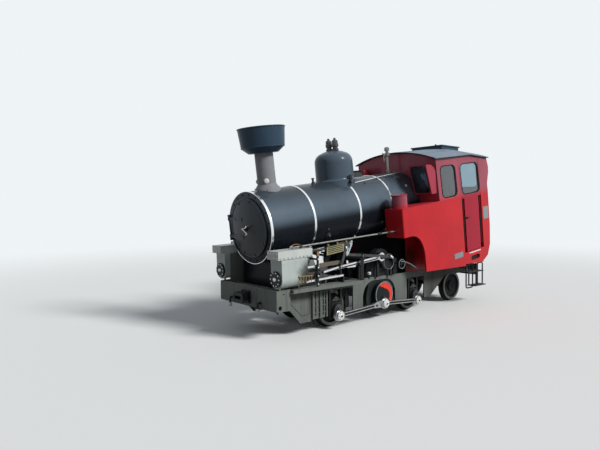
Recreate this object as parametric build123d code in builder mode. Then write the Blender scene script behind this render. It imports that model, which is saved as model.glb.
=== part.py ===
from build123d import *
import os
from math import cos, hypot, radians, sin, tan

os.makedirs("parts", exist_ok=True)

# Metre gauge rack steam locomotive, in millimetres.
# +X runs forward to the chimney end, +Y to the left side, +Z up.
# The origin is on the floor under the middle of the length over couplers,
# at the level of the lowest point of the wheel flanges.

# Overall and running gear
length_over_couplers = 6260
running_gap = 0.4
seat_gap = 0.3
wheel_radius = 326.5
flange_depth = 28
wheel_inner_y = 465
wheel_width = 120
flange_width = 30
wheel_hub_radius = 115
axle_z = wheel_radius + flange_depth
front_axle_x = 1500
rear_axle_x = -730
trailing_axle_x = 823 - length_over_couplers / 2
axle_shaft_radius = 70
journal_radius = 60

# Rack pinions
pinion_teeth = 15
pinion_pitch = 120
pinion_radius = pinion_teeth * pinion_pitch / (2 * 3.14159265)
pinion_width = 90
tooth_addendum = 27
tooth_dedendum = 38

# Jackshaft, cranks and coupling rods
jackshaft_x = 280
jackshaft_z = 418
crank_throw = 110
crank_forward = 38
crank_down = (crank_throw ** 2 - crank_forward ** 2) ** 0.5
crank_web_y = 725
crank_web_thick = 50
crank_pin_radius = 42
rod_y = 787
rod_thick = 56
rod_height = 66
rod_web_thick = 22
rod_eye_radius = 96
knuckle_offset = 235
knuckle_radius = 58
cap_radius = 84
cap_thick = 34
counterweight_radius = 260
counterweight_offset = 60

# Main frames
frame_outer_y = 700
frame_thick = 25
frame_inner_y = frame_outer_y - frame_thick
frame_top_z = 822
frame_bottom_z = 240
frame_front_x = length_over_couplers / 2 - 294
frame_rear_x = 230 - length_over_couplers / 2
frame_arch_z = 700
beam_thick = 40
beam_half_width = 850
beam_top_z = 850
beam_bottom_z = 500

# Boiler, carried at an angle to the track
boiler_tilt = 7.0
boiler_axis_z = 2183.7
boiler_radius = 624
smokebox_front_u = 2891
smokebox_rear_u = 1915
barrel_rear_u = -175
shell_thick = 20
band_width = 44
band_thick = 8
firebox_bottom_z = 740

# Cab and tanks, square to the boiler
cab_front_u = -1090
cab_rear_u = -2985
cab_half_width = 1100
cab_lean = 2.3
cab_wall = 40
waist_w = -45
eave_w = 835
roof_rise = 185
roof_thick = 28
roof_bend_u = -2339
roof_overhang = 45
tank_front_u = 125
tank_inner_y = 668
tank_bottom_w = -607
skirt_bottom_z = 862
floor_w = -1280
floor_thick = 40

# Cylinders and motion, square to the piston line
motion_incline = 2.0
crank_centre_x = 230
crank_centre_z = 1130
motion_y = 830
stroke_throw = 200
crank_angle = 28


def at_y(y):
    """Upright plane at y whose sketch axes are X and Z; it extrudes towards -Y."""
    return Plane.XZ.offset(-y)


def turned_plane(x, z, down_angle):
    """Side plane at (x, z) whose own x axis points forward and down by an angle."""
    a = radians(down_angle)
    return Plane(origin=(x, 0, z), x_dir=(cos(a), 0, -sin(a)), z_dir=(0, -1, 0))


tilted_side = turned_plane(0, boiler_axis_z, boiler_tilt)
tilted_axis = Axis(tilted_side.origin, tilted_side.x_dir)
tilted_up = Axis(tilted_side.origin, tilted_side.y_dir)
motion_side = turned_plane(crank_centre_x, crank_centre_z, motion_incline)


def tilted_at(y):
    return tilted_side.offset(-y)


def motion_at(y):
    return motion_side.offset(-y)


def tilted_point(u, y, w):
    return tilted_side.from_local_coords(Vector(u, w, -y))


def cross_plane(side, u):
    """Plane across a side plane's own x axis: sketch axes are Y and that plane's up."""
    origin = side.from_local_coords(Vector(u, 0, 0))
    return Plane(origin=origin, x_dir=(0, 1, 0), z_dir=side.x_dir)


def top_plane(side, w):
    """Plane over a side plane: sketch axes are that plane's forward and Y."""
    origin = side.from_local_coords(Vector(0, w, 0))
    return Plane(origin=origin, x_dir=side.x_dir, z_dir=side.y_dir)


pieces = []


def finish(piece, label):
    piece.part.label = label
    export_step(piece.part, f"parts/{label}.step")
    pieces.append(label)


# Main frames: outside plates with arches for the axles and the jackshaft
# arch: from x, to x, top z, corner radius
frame_arches = [
    (front_axle_x - 449, front_axle_x + 200, frame_arch_z, 40),
    (jackshaft_x - 440, jackshaft_x + 505, 760, 300),
    (rear_axle_x - 380, rear_axle_x + 200, frame_arch_z, 40),
]
cylinder_seat_rear_x = 2050
cylinder_seat_top_z = 1350
guard_front_x = front_axle_x + 829
guard_bottom_z = 211
frame_tail_z = 640

with BuildPart() as frame_plates:
    with BuildSketch(at_y(frame_outer_y)):
        with BuildLine():
            Polyline(
                (frame_front_x, cylinder_seat_top_z), (frame_front_x, 468),
                (frame_front_x - 282, 456), (guard_front_x, guard_bottom_z),
                (guard_front_x - 237, guard_bottom_z), (guard_front_x - 269, frame_bottom_z),
                (rear_axle_x - 593, frame_bottom_z), (rear_axle_x - 1148, frame_tail_z),
                (frame_rear_x, frame_tail_z), (frame_rear_x, frame_top_z),
                (cylinder_seat_rear_x - 220, frame_top_z),
                (cylinder_seat_rear_x, cylinder_seat_top_z), close=True)
        make_face()
        for x0, x1, top_z, corner in frame_arches:
            arch_height = 2 * (top_z - frame_bottom_z)
            with Locations(((x0 + x1) / 2, frame_bottom_z)):
                RectangleRounded(x1 - x0, arch_height, corner, mode=Mode.SUBTRACT)
    extrude(amount=frame_thick)
    mirror(about=Plane.XZ)
finish(frame_plates, "frame_plates")

# Cross members between the frame plates: middle x, thickness, bottom z, top z
stretcher_table = [
    (frame_front_x - 136, 30, 480, 820),
    (2120, 30, 300, 820),
    (900, 30, 480, 820),
    (rear_axle_x + 290, 30, 610, firebox_bottom_z - seat_gap),
    (rear_axle_x - 382, 30, 600, firebox_bottom_z - seat_gap),
    (frame_rear_x + 1200, 30, 660, 820),
    (frame_rear_x + 120, 30, 645, 820),
]
bearer_xs = (-1300, -1950, frame_rear_x + 250)
with BuildPart() as frame_stretchers:
    for x, thick, z0, z1 in stretcher_table:
        with BuildSketch(Plane.YZ.offset(x - thick / 2)):
            with Locations((0, (z0 + z1) / 2)):
                Rectangle(2 * frame_inner_y, z1 - z0)
                RectangleRounded(0.6 * frame_inner_y, 0.5 * (z1 - z0), 30, mode=Mode.SUBTRACT)
        extrude(amount=thick)
    # Bearers that stand on the frames and carry the cab floor
    for x in bearer_xs:
        with BuildSketch(Plane.YZ.offset(x - 15)):
            with Locations((0, frame_top_z + seat_gap + 250)):
                Rectangle(2 * frame_outer_y, 500)
            with Locations((0, frame_top_z + 150)):
                RectangleRounded(0.8 * frame_outer_y, 130, 30, mode=Mode.SUBTRACT)
        extrude(amount=30)
    with BuildSketch(tilted_at(frame_outer_y + 10)):
        with Locations((-2000, floor_w - floor_thick - seat_gap + 250)):
            Rectangle(2600, 500)
    extrude(amount=2 * frame_outer_y + 20, mode=Mode.SUBTRACT)
finish(frame_stretchers, "frame_stretchers")

# Front beam with cheek plates that reach back over the frame ends
beam_front_x = frame_front_x + 110
cheek_length = 246
with BuildPart() as end_beams:
    with BuildSketch(Plane.YZ.offset(beam_front_x)):
        with Locations((0, (beam_top_z + beam_bottom_z) / 2)):
            RectangleRounded(2 * beam_half_width, beam_top_z - beam_bottom_z, 18)
    extrude(amount=-beam_thick)
    with BuildSketch(at_y(beam_half_width)):
        with Locations((beam_front_x - beam_thick - cheek_length / 2, (beam_top_z + beam_bottom_z) / 2)):
            Rectangle(cheek_length, beam_top_z - beam_bottom_z)
    extrude(amount=20)
    mirror(about=Plane.XZ)
    with BuildSketch(Plane.YZ.offset(beam_front_x - beam_thick)):
        with Locations((frame_inner_y + 10, 645), (-frame_inner_y - 10, 645)):
            Rectangle(20, 250)
    extrude(amount=-(beam_front_x - beam_thick - frame_front_x))
    with BuildSketch(Plane.YZ.offset(frame_rear_x)):
        with Locations((0, 700)):
            RectangleRounded(2 * beam_half_width, 260, 18)
    extrude(amount=-beam_thick)
finish(end_beams, "end_beams")

# Centre couplers: pad, shank, head with a vertical pin bore
coupler_z = 660
coupler_pin_radius = 22
coupler_head_length = 90


def coupler(face_x, tip_x):
    direction = 1 if tip_x > face_x else -1
    reach = abs(tip_x - face_x)
    with BuildPart() as made:
        with BuildSketch(Plane.YZ.offset(face_x)):
            with Locations((0, coupler_z)):
                RectangleRounded(260, 220, 30)
        extrude(amount=direction * 28)
        with BuildSketch(Plane.YZ.offset(face_x)):
            with Locations((0, coupler_z)):
                Circle(62)
        extrude(amount=direction * (reach - coupler_head_length))
        with BuildSketch(Plane.YZ.offset(tip_x)):
            with Locations((0, coupler_z)):
                RectangleRounded(300, 170, 60)
                Rectangle(190, 56, mode=Mode.SUBTRACT)
        extrude(amount=-direction * coupler_head_length)
        with BuildSketch(Plane.YZ.offset(tip_x - direction * coupler_head_length)):
            with Locations((0, coupler_z)):
                RectangleRounded(300, 170, 60)
        extrude(amount=-direction * 14)
        with BuildSketch(Plane.XY.offset(coupler_z - 100)):
            with Locations((tip_x - direction * 45, 0)):
                Circle(coupler_pin_radius)
        extrude(amount=200, mode=Mode.SUBTRACT)
    return made.part


with BuildPart() as couplers:
    add(coupler(beam_front_x, length_over_couplers / 2))
    add(coupler(frame_rear_x - beam_thick, -length_over_couplers / 2))
finish(couplers, "couplers")

# Running boards beside the frames
board_thick = 18
board_outer_y = 930
board_rear_x = 1000
board_front_x = beam_front_x - beam_thick - cheek_length - seat_gap
with BuildPart() as running_boards:
    with BuildSketch(Plane.XY.offset(frame_top_z)):
        with Locations(((board_rear_x + board_front_x) / 2, (frame_outer_y + board_outer_y) / 2)):
            Rectangle(board_front_x - board_rear_x, board_outer_y - frame_outer_y)
    extrude(amount=board_thick)
    with BuildSketch(at_y(board_outer_y)):
        with Locations(((board_rear_x + board_front_x) / 2, frame_top_z - 20)):
            Rectangle(board_front_x - board_rear_x, 40)
    extrude(amount=8)
    mirror(about=Plane.XZ)
finish(running_boards, "running_boards")

# Ribs and ties on the frame plates ahead of the front axle
# rib: from x, to x, bottom z, top z, how far it stands out
rib_table = [
    (front_axle_x + 560, front_axle_x + 584, 250, 800, 44),
    (front_axle_x + 470, front_axle_x + 486, 300, 770, 22),
    (front_axle_x + 380, front_axle_x + 404, 270, 780, 34),
    (front_axle_x + 290, front_axle_x + 306, 300, 770, 22),
    (front_axle_x + 222, front_axle_x + 252, 250, 800, 30),
]
tie_table = [(front_axle_x + 235, front_axle_x + 575, z, z + 18, 14) for z in (330, 455, 560, 690, 760)]
with BuildPart() as frame_ribs:
    for x0, x1, z0, z1, stand_out in rib_table + tie_table:
        with BuildSketch(at_y(frame_outer_y + seat_gap + stand_out)):
            with Locations(((x0 + x1) / 2, (z0 + z1) / 2)):
                Rectangle(x1 - x0, z1 - z0)
        extrude(amount=stand_out)
    mirror(about=Plane.XZ)
finish(frame_ribs, "frame_ribs")

# Brake blocks on the inner sides of the two rack axles' wheels, on hangers under the frames
block_gap = 8
block_thick = 46
block_half_angle = 24
hanger_y = wheel_inner_y + wheel_width + 6
hanger_thick = 18
hanger_top_z = frame_arch_z + 70
brake_beam_radius = 24
with BuildPart() as brake_gear:
    for axle_x, facing in ((front_axle_x, -1), (rear_axle_x, 1)):
        block_radius = wheel_radius + block_gap
        hanger_x = axle_x + facing * (block_radius + block_thick)
        with BuildSketch(at_y(wheel_inner_y + wheel_width - 4)):
            with Locations((axle_x, axle_z)):
                Circle(block_radius + block_thick)
                Circle(block_radius, mode=Mode.SUBTRACT)
            with Locations((axle_x + facing * 500, axle_z)):
                Rectangle(1000, 2 * block_radius * tan(radians(block_half_angle)), mode=Mode.INTERSECT)
        extrude(amount=wheel_width - flange_width - 28)
        with BuildSketch(at_y(hanger_y + hanger_thick)):
            with Locations((hanger_x, axle_z)):
                Circle(52)
            with Locations((hanger_x, hanger_top_z)):
                Circle(34)
            make_hull()
        extrude(amount=hanger_thick)
        with BuildSketch(at_y(frame_inner_y - seat_gap)):
            with Locations((hanger_x, hanger_top_z)):
                Circle(24)
        extrude(amount=frame_inner_y - seat_gap - hanger_y)
        with BuildSketch(at_y(hanger_y + hanger_thick)):
            with Locations((hanger_x, axle_z)):
                Circle(brake_beam_radius)
        extrude(amount=hanger_y + hanger_thick)
    mirror(about=Plane.XZ)
finish(brake_gear, "brake_gear")

# Horn guides and axle boxes of the two rack axles
horn_gap = 232
horn_width = 44
box_width = horn_gap - 2 * running_gap
with BuildPart() as horn_guides:
    for x in (front_axle_x, rear_axle_x):
        for side in (-1, 1):
            with BuildSketch(at_y(frame_outer_y)):
                with Locations((x + side * (horn_gap + horn_width) / 2, 460)):
                    Rectangle(horn_width, 2 * (frame_arch_z - 460))
            extrude(amount=60)
        with BuildSketch(at_y(frame_outer_y)):
            with Locations((x, 202)):
                Rectangle(horn_gap + 2 * horn_width, 36)
        extrude(amount=60)
    mirror(about=Plane.XZ)
finish(horn_guides, "horn_guides")

with BuildPart() as axle_boxes:
    for x in (front_axle_x, rear_axle_x):
        with BuildSketch(at_y(frame_outer_y + 12)):
            with Locations((x, axle_z)):
                RectangleRounded(box_width, 240, 30)
                Circle(journal_radius + running_gap, mode=Mode.SUBTRACT)
        extrude(amount=90)
    mirror(about=Plane.XZ)
finish(axle_boxes, "axle_boxes")


# Wheels: a disc wheel with tread, flange and hub, turned about the axle
def wheel_pair(x, bore):
    outer_y = wheel_inner_y + wheel_width
    rim = wheel_radius - 62
    with BuildPart() as made:
        with BuildSketch(Plane.YZ.offset(x)):
            with BuildLine():
                Polyline(
                    (wheel_inner_y, axle_z + bore), (outer_y + 6, axle_z + bore),
                    (outer_y + 6, axle_z + wheel_hub_radius), (outer_y - 30, axle_z + wheel_hub_radius + 8),
                    (outer_y - 34, axle_z + rim - 12), (outer_y, axle_z + rim),
                    (outer_y, axle_z + wheel_radius - 8), (outer_y - 8, axle_z + wheel_radius),
                    (wheel_inner_y + flange_width + 14, axle_z + wheel_radius),
                    (wheel_inner_y + flange_width, axle_z + wheel_radius + 10),
                    (wheel_inner_y + 20, axle_z + wheel_radius + flange_depth),
                    (wheel_inner_y + 8, axle_z + wheel_radius + flange_depth),
                    (wheel_inner_y, axle_z + wheel_radius + flange_depth - 10),
                    (wheel_inner_y, axle_z + rim), (wheel_inner_y + 26, axle_z + rim - 12),
                    (wheel_inner_y + 30, axle_z + wheel_hub_radius + 8),
                    (wheel_inner_y, axle_z + wheel_hub_radius), close=True)
            make_face()
        revolve(axis=Axis((x, 0, axle_z), (0, 1, 0)))
        mirror(about=Plane.XZ)
    return made


def crank_offset(quarter_turns):
    """Crank pin offset from its axle; the right side is a quarter turn ahead."""
    if quarter_turns:
        return crank_down, crank_forward
    return crank_forward, -crank_down


def crank_set(x, z, web_radius, disc_radius, disc_offset):
    """Crank webs, or eccentric discs, and pins for both ends of a shaft."""
    with BuildPart() as made:
        for side, quarter in ((1, 0), (-1, 1)):
            px, pz = crank_offset(quarter)
            web_plane = Plane.XZ.offset(-side * crank_web_y)
            with BuildSketch(web_plane):
                if disc_radius:
                    share = -disc_offset / crank_throw
                    with Locations((x + px * share, z + pz * share)):
                        Circle(disc_radius)
                else:
                    with Locations((x, z)):
                        Circle(web_radius)
                    with Locations((x + px, z + pz)):
                        Circle(crank_pin_radius + 22)
                    make_hull()
            extrude(amount=-side * crank_web_thick)
            with BuildSketch(web_plane):
                with Locations((x + px, z + pz)):
                    Circle(crank_pin_radius)
            extrude(amount=-side * (rod_y + rod_thick - 2 - crank_web_y))
    return made.part


def pinion_disc(x):
    """Toothed disc keyed on a rack axle, with a boss on each side."""
    root = pinion_radius - tooth_dedendum
    tip = pinion_radius + tooth_addendum
    pitch_half = pinion_pitch / 4
    with BuildSketch() as tooth:
        with BuildLine():
            Polyline(
                (root - 8, -pitch_half * 1.42), (pinion_radius, -pitch_half),
                (tip, -pitch_half * 0.52), (tip, pitch_half * 0.52),
                (pinion_radius, pitch_half), (root - 8, pitch_half * 1.42), close=True)
        make_face()
    with BuildPart() as made:
        with BuildSketch(at_y(pinion_width / 2)):
            with Locations((x, axle_z)):
                Circle(root)
                with PolarLocations(0, pinion_teeth):
                    add(tooth.sketch)
        extrude(amount=pinion_width)
        with BuildSketch(at_y(pinion_width / 2 + 40)):
            with Locations((x, axle_z)):
                Circle(130)
        extrude(amount=pinion_width + 80)
    return made.part


def rack_axle(x):
    with BuildPart() as made:
        with BuildSketch(at_y(600)):
            with Locations((x, axle_z)):
                Circle(axle_shaft_radius)
        extrude(amount=1200)
        with BuildSketch(at_y(crank_web_y)):
            with Locations((x, axle_z)):
                Circle(journal_radius)
        extrude(amount=2 * crank_web_y)
        add(crank_set(x, axle_z, 92, 0, 0))
        add(pinion_disc(x))
    return made


front_axle = rack_axle(front_axle_x)
finish(front_axle, "front_axle")
front_wheels = wheel_pair(front_axle_x, axle_shaft_radius + seat_gap)
finish(front_wheels, "front_wheels")
rear_axle = rack_axle(rear_axle_x)
finish(rear_axle, "rear_axle")
rear_wheels = wheel_pair(rear_axle_x, axle_shaft_radius + seat_gap)
finish(rear_wheels, "rear_wheels")

with BuildPart() as jackshaft:
    with BuildSketch(at_y(crank_web_y)):
        with Locations((jackshaft_x, jackshaft_z)):
            Circle(journal_radius + 15)
    extrude(amount=2 * crank_web_y)
    add(crank_set(jackshaft_x, jackshaft_z, 0, counterweight_radius, counterweight_offset))
finish(jackshaft, "jackshaft")

with BuildPart() as trailing_axle:
    with BuildSketch(at_y(585)):
        with Locations((trailing_axle_x, axle_z)):
            Circle(journal_radius)
    extrude(amount=1170)
    add(wheel_pair(trailing_axle_x, journal_radius - 1).part)
finish(trailing_axle, "trailing_axle")


# Coupling rods: a front rod that ends in a knuckle ahead of the jackshaft pin,
# and a rear rod through the jackshaft pin, both channelled along the web
def rod_bar(side, start, end, eyes):
    """One rod between two points, with round eyes: (point, radius, bore)."""
    outer = side * (rod_y + rod_thick)
    length = hypot(end[0] - start[0], end[1] - start[1])
    along = ((end[0] - start[0]) / length, (end[1] - start[1]) / length)
    bar_plane = Plane(origin=(start[0], outer, start[1]), x_dir=(along[0], 0, along[1]), z_dir=(0, -1, 0))
    flute_height = rod_height - 28
    flute_depth = (rod_thick - rod_web_thick) / 2
    with BuildPart() as made:
        with BuildSketch(bar_plane):
            with Locations((length / 2, 0)):
                Rectangle(length, rod_height)
        extrude(amount=side * rod_thick)
        for face_y, into in ((outer, side), (outer - side * rod_thick, -side)):
            flute_plane = Plane(origin=(start[0], face_y, start[1]),
                                x_dir=(along[0], 0, along[1]), z_dir=(0, -1, 0))
            with BuildSketch(flute_plane):
                with Locations((length / 2, 0)):
                    SlotOverall(length - 2 * rod_eye_radius, flute_height)
            extrude(amount=into * flute_depth, mode=Mode.SUBTRACT)
        for (x, z), radius, bore in eyes:
            with BuildSketch(Plane.XZ.offset(-outer)):
                with Locations((x, z)):
                    Circle(radius)
            extrude(amount=side * rod_thick)
        for (x, z), radius, bore in eyes:
            with BuildSketch(Plane.XZ.offset(-outer)):
                with Locations((x, z)):
                    Circle(bore)
            extrude(amount=side * rod_thick, mode=Mode.SUBTRACT)
    return made.part


def pin_points(quarter):
    px, pz = crank_offset(quarter)
    front = (front_axle_x + px, axle_z + pz)
    middle = (jackshaft_x + px, jackshaft_z + pz)
    rear = (rear_axle_x + px, axle_z + pz)
    span = hypot(front[0] - middle[0], front[1] - middle[1])
    share = knuckle_offset / span
    knuckle = (middle[0] + share * (front[0] - middle[0]), middle[1] + share * (front[1] - middle[1]))
    return front, knuckle, middle, rear


pin_bore = crank_pin_radius + running_gap
knuckle_pin_radius = 26


def front_rod(side, quarter):
    front, knuckle, middle, rear = pin_points(quarter)
    share = (knuckle_radius + 6) / hypot(front[0] - knuckle[0], front[1] - knuckle[1])
    fork_end = (knuckle[0] + share * (front[0] - knuckle[0]), knuckle[1] + share * (front[1] - knuckle[1]))
    with BuildPart() as made:
        add(rod_bar(side, fork_end, front, [(front, rod_eye_radius, pin_bore)]))
        # Fork cheeks that hold the knuckle pin from both sides
        for cheek_y in (rod_y, rod_y + rod_thick - 14):
            face = side * (cheek_y + 14)
            with BuildSketch(Plane.XZ.offset(-face)):
                with Locations(knuckle):
                    Circle(knuckle_radius - 10)
                with Locations(fork_end):
                    Circle(knuckle_radius - 20)
                make_hull()
            extrude(amount=side * 14)
        with BuildSketch(Plane.XZ.offset(-side * (rod_y + rod_thick))):
            with Locations(knuckle):
                Circle(knuckle_pin_radius)
        extrude(amount=side * rod_thick)
        with BuildSketch(Plane.XZ.offset(-side * (rod_y + rod_thick + cap_thick))):
            with Locations(front):
                Circle(cap_radius)
        extrude(amount=side * cap_thick)
    return made.part


def rear_rod(side, quarter):
    front, knuckle, middle, rear = pin_points(quarter)
    with BuildPart() as made:
        add(rod_bar(side, rear, middle,
                    [(rear, rod_eye_radius, pin_bore), (middle, rod_eye_radius + 8, pin_bore)]))
        tongue_face = side * (rod_y + rod_thick - 15)
        with BuildSketch(Plane.XZ.offset(-tongue_face)):
            with Locations(knuckle):
                Circle(knuckle_radius - 6)
            with Locations(middle):
                Circle(rod_eye_radius - 20)
            make_hull()
            with Locations(knuckle):
                Circle(knuckle_pin_radius + running_gap, mode=Mode.SUBTRACT)
            with Locations(middle):
                Circle(pin_bore, mode=Mode.SUBTRACT)
        extrude(amount=side * (rod_thick - 30))
        with BuildSketch(Plane.XZ.offset(-side * (rod_y + rod_thick + cap_thick))):
            with Locations(middle, rear):
                Circle(cap_radius)
        extrude(amount=side * cap_thick)
    return made.part


for side, quarter, word in ((1, 0, "left"), (-1, 1, "right")):
    with BuildPart() as coupling_rods:
        add(front_rod(side, quarter))
        add(rear_rod(side, quarter))
    finish(coupling_rods, f"coupling_rods_{word}")

# Smokebox with its hinged door
door_radius = 520
hinge_y = -560
hinge_u = smokebox_front_u + 34
hinge_pin_radius = 14
hinge_lug_ws = (-230, 190)
hinge_lug_height = 40
with BuildPart() as smokebox:
    with BuildSketch(tilted_side):
        with BuildLine():
            Polyline(
                (smokebox_rear_u + seat_gap, 0), (smokebox_rear_u + 60, 0),
                (smokebox_rear_u + 60, boiler_radius - shell_thick),
                (smokebox_front_u - 30, boiler_radius - shell_thick),
                (smokebox_front_u - 30, 500), (smokebox_front_u, 500),
                (smokebox_front_u, boiler_radius), (smokebox_rear_u + seat_gap, boiler_radius), close=True)
        make_face()
    revolve(axis=tilted_axis)
    chimney_u = 2417
    chimney_bore = 130
    with BuildSketch(top_plane(tilted_side, 0)):
        with Locations((chimney_u, 0)):
            Circle(chimney_bore)
    extrude(amount=boiler_radius + 50, mode=Mode.SUBTRACT)
    # Hinge lugs and their pin for the door
    for w in hinge_lug_ws:
        with BuildSketch(top_plane(tilted_side, w)):
            with Locations((smokebox_front_u + 22, hinge_y)):
                Rectangle(64, 36)
        extrude(amount=hinge_lug_height)
    with BuildSketch(top_plane(tilted_side, hinge_lug_ws[0])):
        with Locations((hinge_u, hinge_y)):
            Circle(hinge_pin_radius)
    extrude(amount=hinge_lug_ws[1] + hinge_lug_height - hinge_lug_ws[0])
finish(smokebox, "smokebox")

with BuildPart() as smokebox_door:
    with BuildSketch(tilted_side):
        with BuildLine():
            door_bottom = Line((smokebox_front_u + 5, 0), (smokebox_front_u + 5, door_radius))
            door_edge = Line(door_bottom @ 1, (smokebox_front_u + 22, door_radius))
            door_crown = ThreePointArc(door_edge @ 1, (smokebox_front_u + 62, 290), (smokebox_front_u + 80, 0))
            Line(door_crown @ 1, door_bottom @ 0)
        make_face()
    revolve(axis=tilted_axis)
    for w in (hinge_lug_ws[0] + hinge_lug_height + 6, hinge_lug_ws[1] - 6 - 60):
        with BuildSketch(top_plane(tilted_side, w)):
            with Locations((hinge_u, (hinge_y - 480) / 2)):
                Rectangle(30, -480 - hinge_y)
            with Locations((hinge_u, hinge_y)):
                Circle(hinge_pin_radius + 12)
                Circle(hinge_pin_radius + running_gap, mode=Mode.SUBTRACT)
        extrude(amount=60)
    with BuildSketch(cross_plane(tilted_side, smokebox_front_u + 70)):
        Circle(46)
    extrude(amount=44)
finish(smokebox_door, "smokebox_door")

cap_base_w = 1254
cap_shoulder_w = 1353
cap_top_w = 1690
cap_foot_radius = 265
cap_shoulder_radius = 385
cap_rim_radius = 418
pipe_radius = 165
with BuildPart() as chimney_pipe:
    with BuildSketch(top_plane(tilted_side, boiler_radius - 90)):
        with Locations((chimney_u, 0)):
            Circle(pipe_radius)
    extrude(amount=cap_base_w - boiler_radius + 90)
    with BuildSketch(top_plane(tilted_side, boiler_radius - 60)):
        with Locations((chimney_u, 0)):
            Circle(pipe_radius + 95)
    with BuildSketch(top_plane(tilted_side, boiler_radius + 90)):
        with Locations((chimney_u, 0)):
            Circle(pipe_radius + 2)
    loft()
    with BuildSketch(cross_plane(tilted_side, smokebox_rear_u)):
        Circle(boiler_radius + seat_gap)
    extrude(amount=smokebox_front_u - smokebox_rear_u, mode=Mode.SUBTRACT)
    with BuildSketch(top_plane(tilted_side, 0)):
        with Locations((chimney_u, 0)):
            Circle(chimney_bore)
    extrude(amount=cap_base_w + 50, mode=Mode.SUBTRACT)
finish(chimney_pipe, "chimney_pipe")

chimney_axis = Axis(tilted_point(chimney_u, 0, 0), tilted_side.y_dir)
with BuildPart() as chimney_cap:
    with BuildSketch(tilted_side):
        with BuildLine():
            Polyline(
                (chimney_u + chimney_bore, cap_base_w + seat_gap),
                (chimney_u + cap_foot_radius, cap_base_w + seat_gap),
                (chimney_u + cap_shoulder_radius, cap_shoulder_w),
                (chimney_u + cap_rim_radius, cap_top_w), (chimney_u + cap_rim_radius - 12, cap_top_w),
                (chimney_u + cap_shoulder_radius - 12, cap_shoulder_w + 8),
                (chimney_u + cap_foot_radius, cap_base_w + 24),
                (chimney_u + chimney_bore + 20, cap_base_w + 24),
                (chimney_u + chimney_bore + 20, cap_top_w - 90),
                (chimney_u + chimney_bore, cap_top_w - 90), close=True)
        make_face()
    revolve(axis=chimney_axis)
finish(chimney_cap, "chimney_cap")

with BuildPart() as boiler_barrel:
    with BuildSketch(cross_plane(tilted_side, barrel_rear_u + seat_gap)):
        Circle(boiler_radius)
    extrude(amount=smokebox_rear_u - barrel_rear_u - seat_gap)
finish(boiler_barrel, "boiler_barrel")

dome_u = 748
dome_radius = 378
dome_shoulder_w = 1013
dome_crown_w = 1202
# Polished bands: the foremost is on the smokebox's own front edge
with BuildPart() as boiler_bands:
    for u in (smokebox_front_u - band_width, smokebox_rear_u - band_width / 2, dome_u + 9 - band_width / 2,
              barrel_rear_u - band_width / 2):
        with BuildSketch(cross_plane(tilted_side, u)):
            Circle(boiler_radius + seat_gap + band_thick)
            Circle(boiler_radius + seat_gap, mode=Mode.SUBTRACT)
        extrude(amount=band_width)
    with BuildSketch(top_plane(tilted_side, 0)):
        with Locations((dome_u, 0)):
            Circle(dome_radius + 44)
    extrude(amount=dome_crown_w, mode=Mode.SUBTRACT)
finish(boiler_bands, "boiler_bands")

with BuildPart() as steam_dome:
    with BuildSketch(tilted_side):
        with BuildLine():
            dome_axis_line = Line((dome_u, 400), (dome_u, dome_crown_w))
            crown = ThreePointArc(dome_axis_line @ 1, (dome_u + 140, dome_crown_w - 14),
                                  (dome_u + 245, dome_crown_w - 52))
            corner = ThreePointArc(crown @ 1, (dome_u + 338, dome_crown_w - 120),
                                   (dome_u + dome_radius - 4, dome_shoulder_w - 30))
            wall = Line(corner @ 1, (dome_u + dome_radius, boiler_radius + 40))
            flare = ThreePointArc(wall @ 1, (dome_u + dome_radius + 12, boiler_radius + 8),
                                  (dome_u + dome_radius + 40, boiler_radius - 12))
            skirt = Line(flare @ 1, (dome_u + dome_radius + 40, 400))
            Line(skirt @ 1, dome_axis_line @ 0)
        make_face()
    revolve(axis=Axis(tilted_point(dome_u, 0, 0), tilted_side.y_dir))
    with BuildSketch(cross_plane(tilted_side, dome_u - 600)):
        Circle(boiler_radius + seat_gap)
    extrude(amount=1200, mode=Mode.SUBTRACT)
finish(steam_dome, "steam_dome")

# Two safety valves on the dome: profile as (radius, height above the dome crown)
valve_profile = [(0, -8), (64, -8), (64, 26), (50, 38), (50, 60), (66, 74), (66, 120),
                 (58, 128), (58, 176), (46, 196), (24, 204), (24, 236), (0, 236)]
valve_spacing = 172
with BuildPart() as safety_valves:
    for y in (-valve_spacing / 2, valve_spacing / 2):
        plane = Plane(origin=tilted_point(dome_u, y, dome_crown_w), x_dir=tilted_side.x_dir,
                      z_dir=tilted_side.z_dir)
        with BuildSketch(plane):
            with BuildLine():
                Polyline(*valve_profile, close=True)
            make_face()
        revolve(axis=Axis(plane.origin, tilted_side.y_dir))
    add(steam_dome.part, mode=Mode.SUBTRACT)
finish(safety_valves, "safety_valves")

# Firebox: the round wrapper, its lower box between the frames, and the backhead in the cab
firebox_rear_u = -1440
firebox_half_width = 560
firebox_front_x = -300
firebox_back_x = -1130
with BuildPart() as firebox:
    with BuildSketch(cross_plane(tilted_side, firebox_rear_u)):
        Circle(boiler_radius)
    extrude(amount=barrel_rear_u - firebox_rear_u)
finish(firebox, "firebox")
with BuildPart() as firebox_sides:
    with BuildSketch(at_y(firebox_half_width)):
        with BuildLine():
            Polyline((firebox_front_x - 70, firebox_bottom_z), (firebox_front_x, firebox_bottom_z + 260),
                     (firebox_front_x, boiler_axis_z - 84), (firebox_back_x, boiler_axis_z - 84),
                     (firebox_back_x, firebox_bottom_z), close=True)
        make_face()
    extrude(amount=2 * firebox_half_width)
    with BuildSketch(cross_plane(tilted_side, firebox_rear_u - 100)):
        Circle(boiler_radius + seat_gap)
    extrude(amount=barrel_rear_u - firebox_rear_u + 200, mode=Mode.SUBTRACT)
finish(firebox_sides, "firebox_sides")

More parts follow.
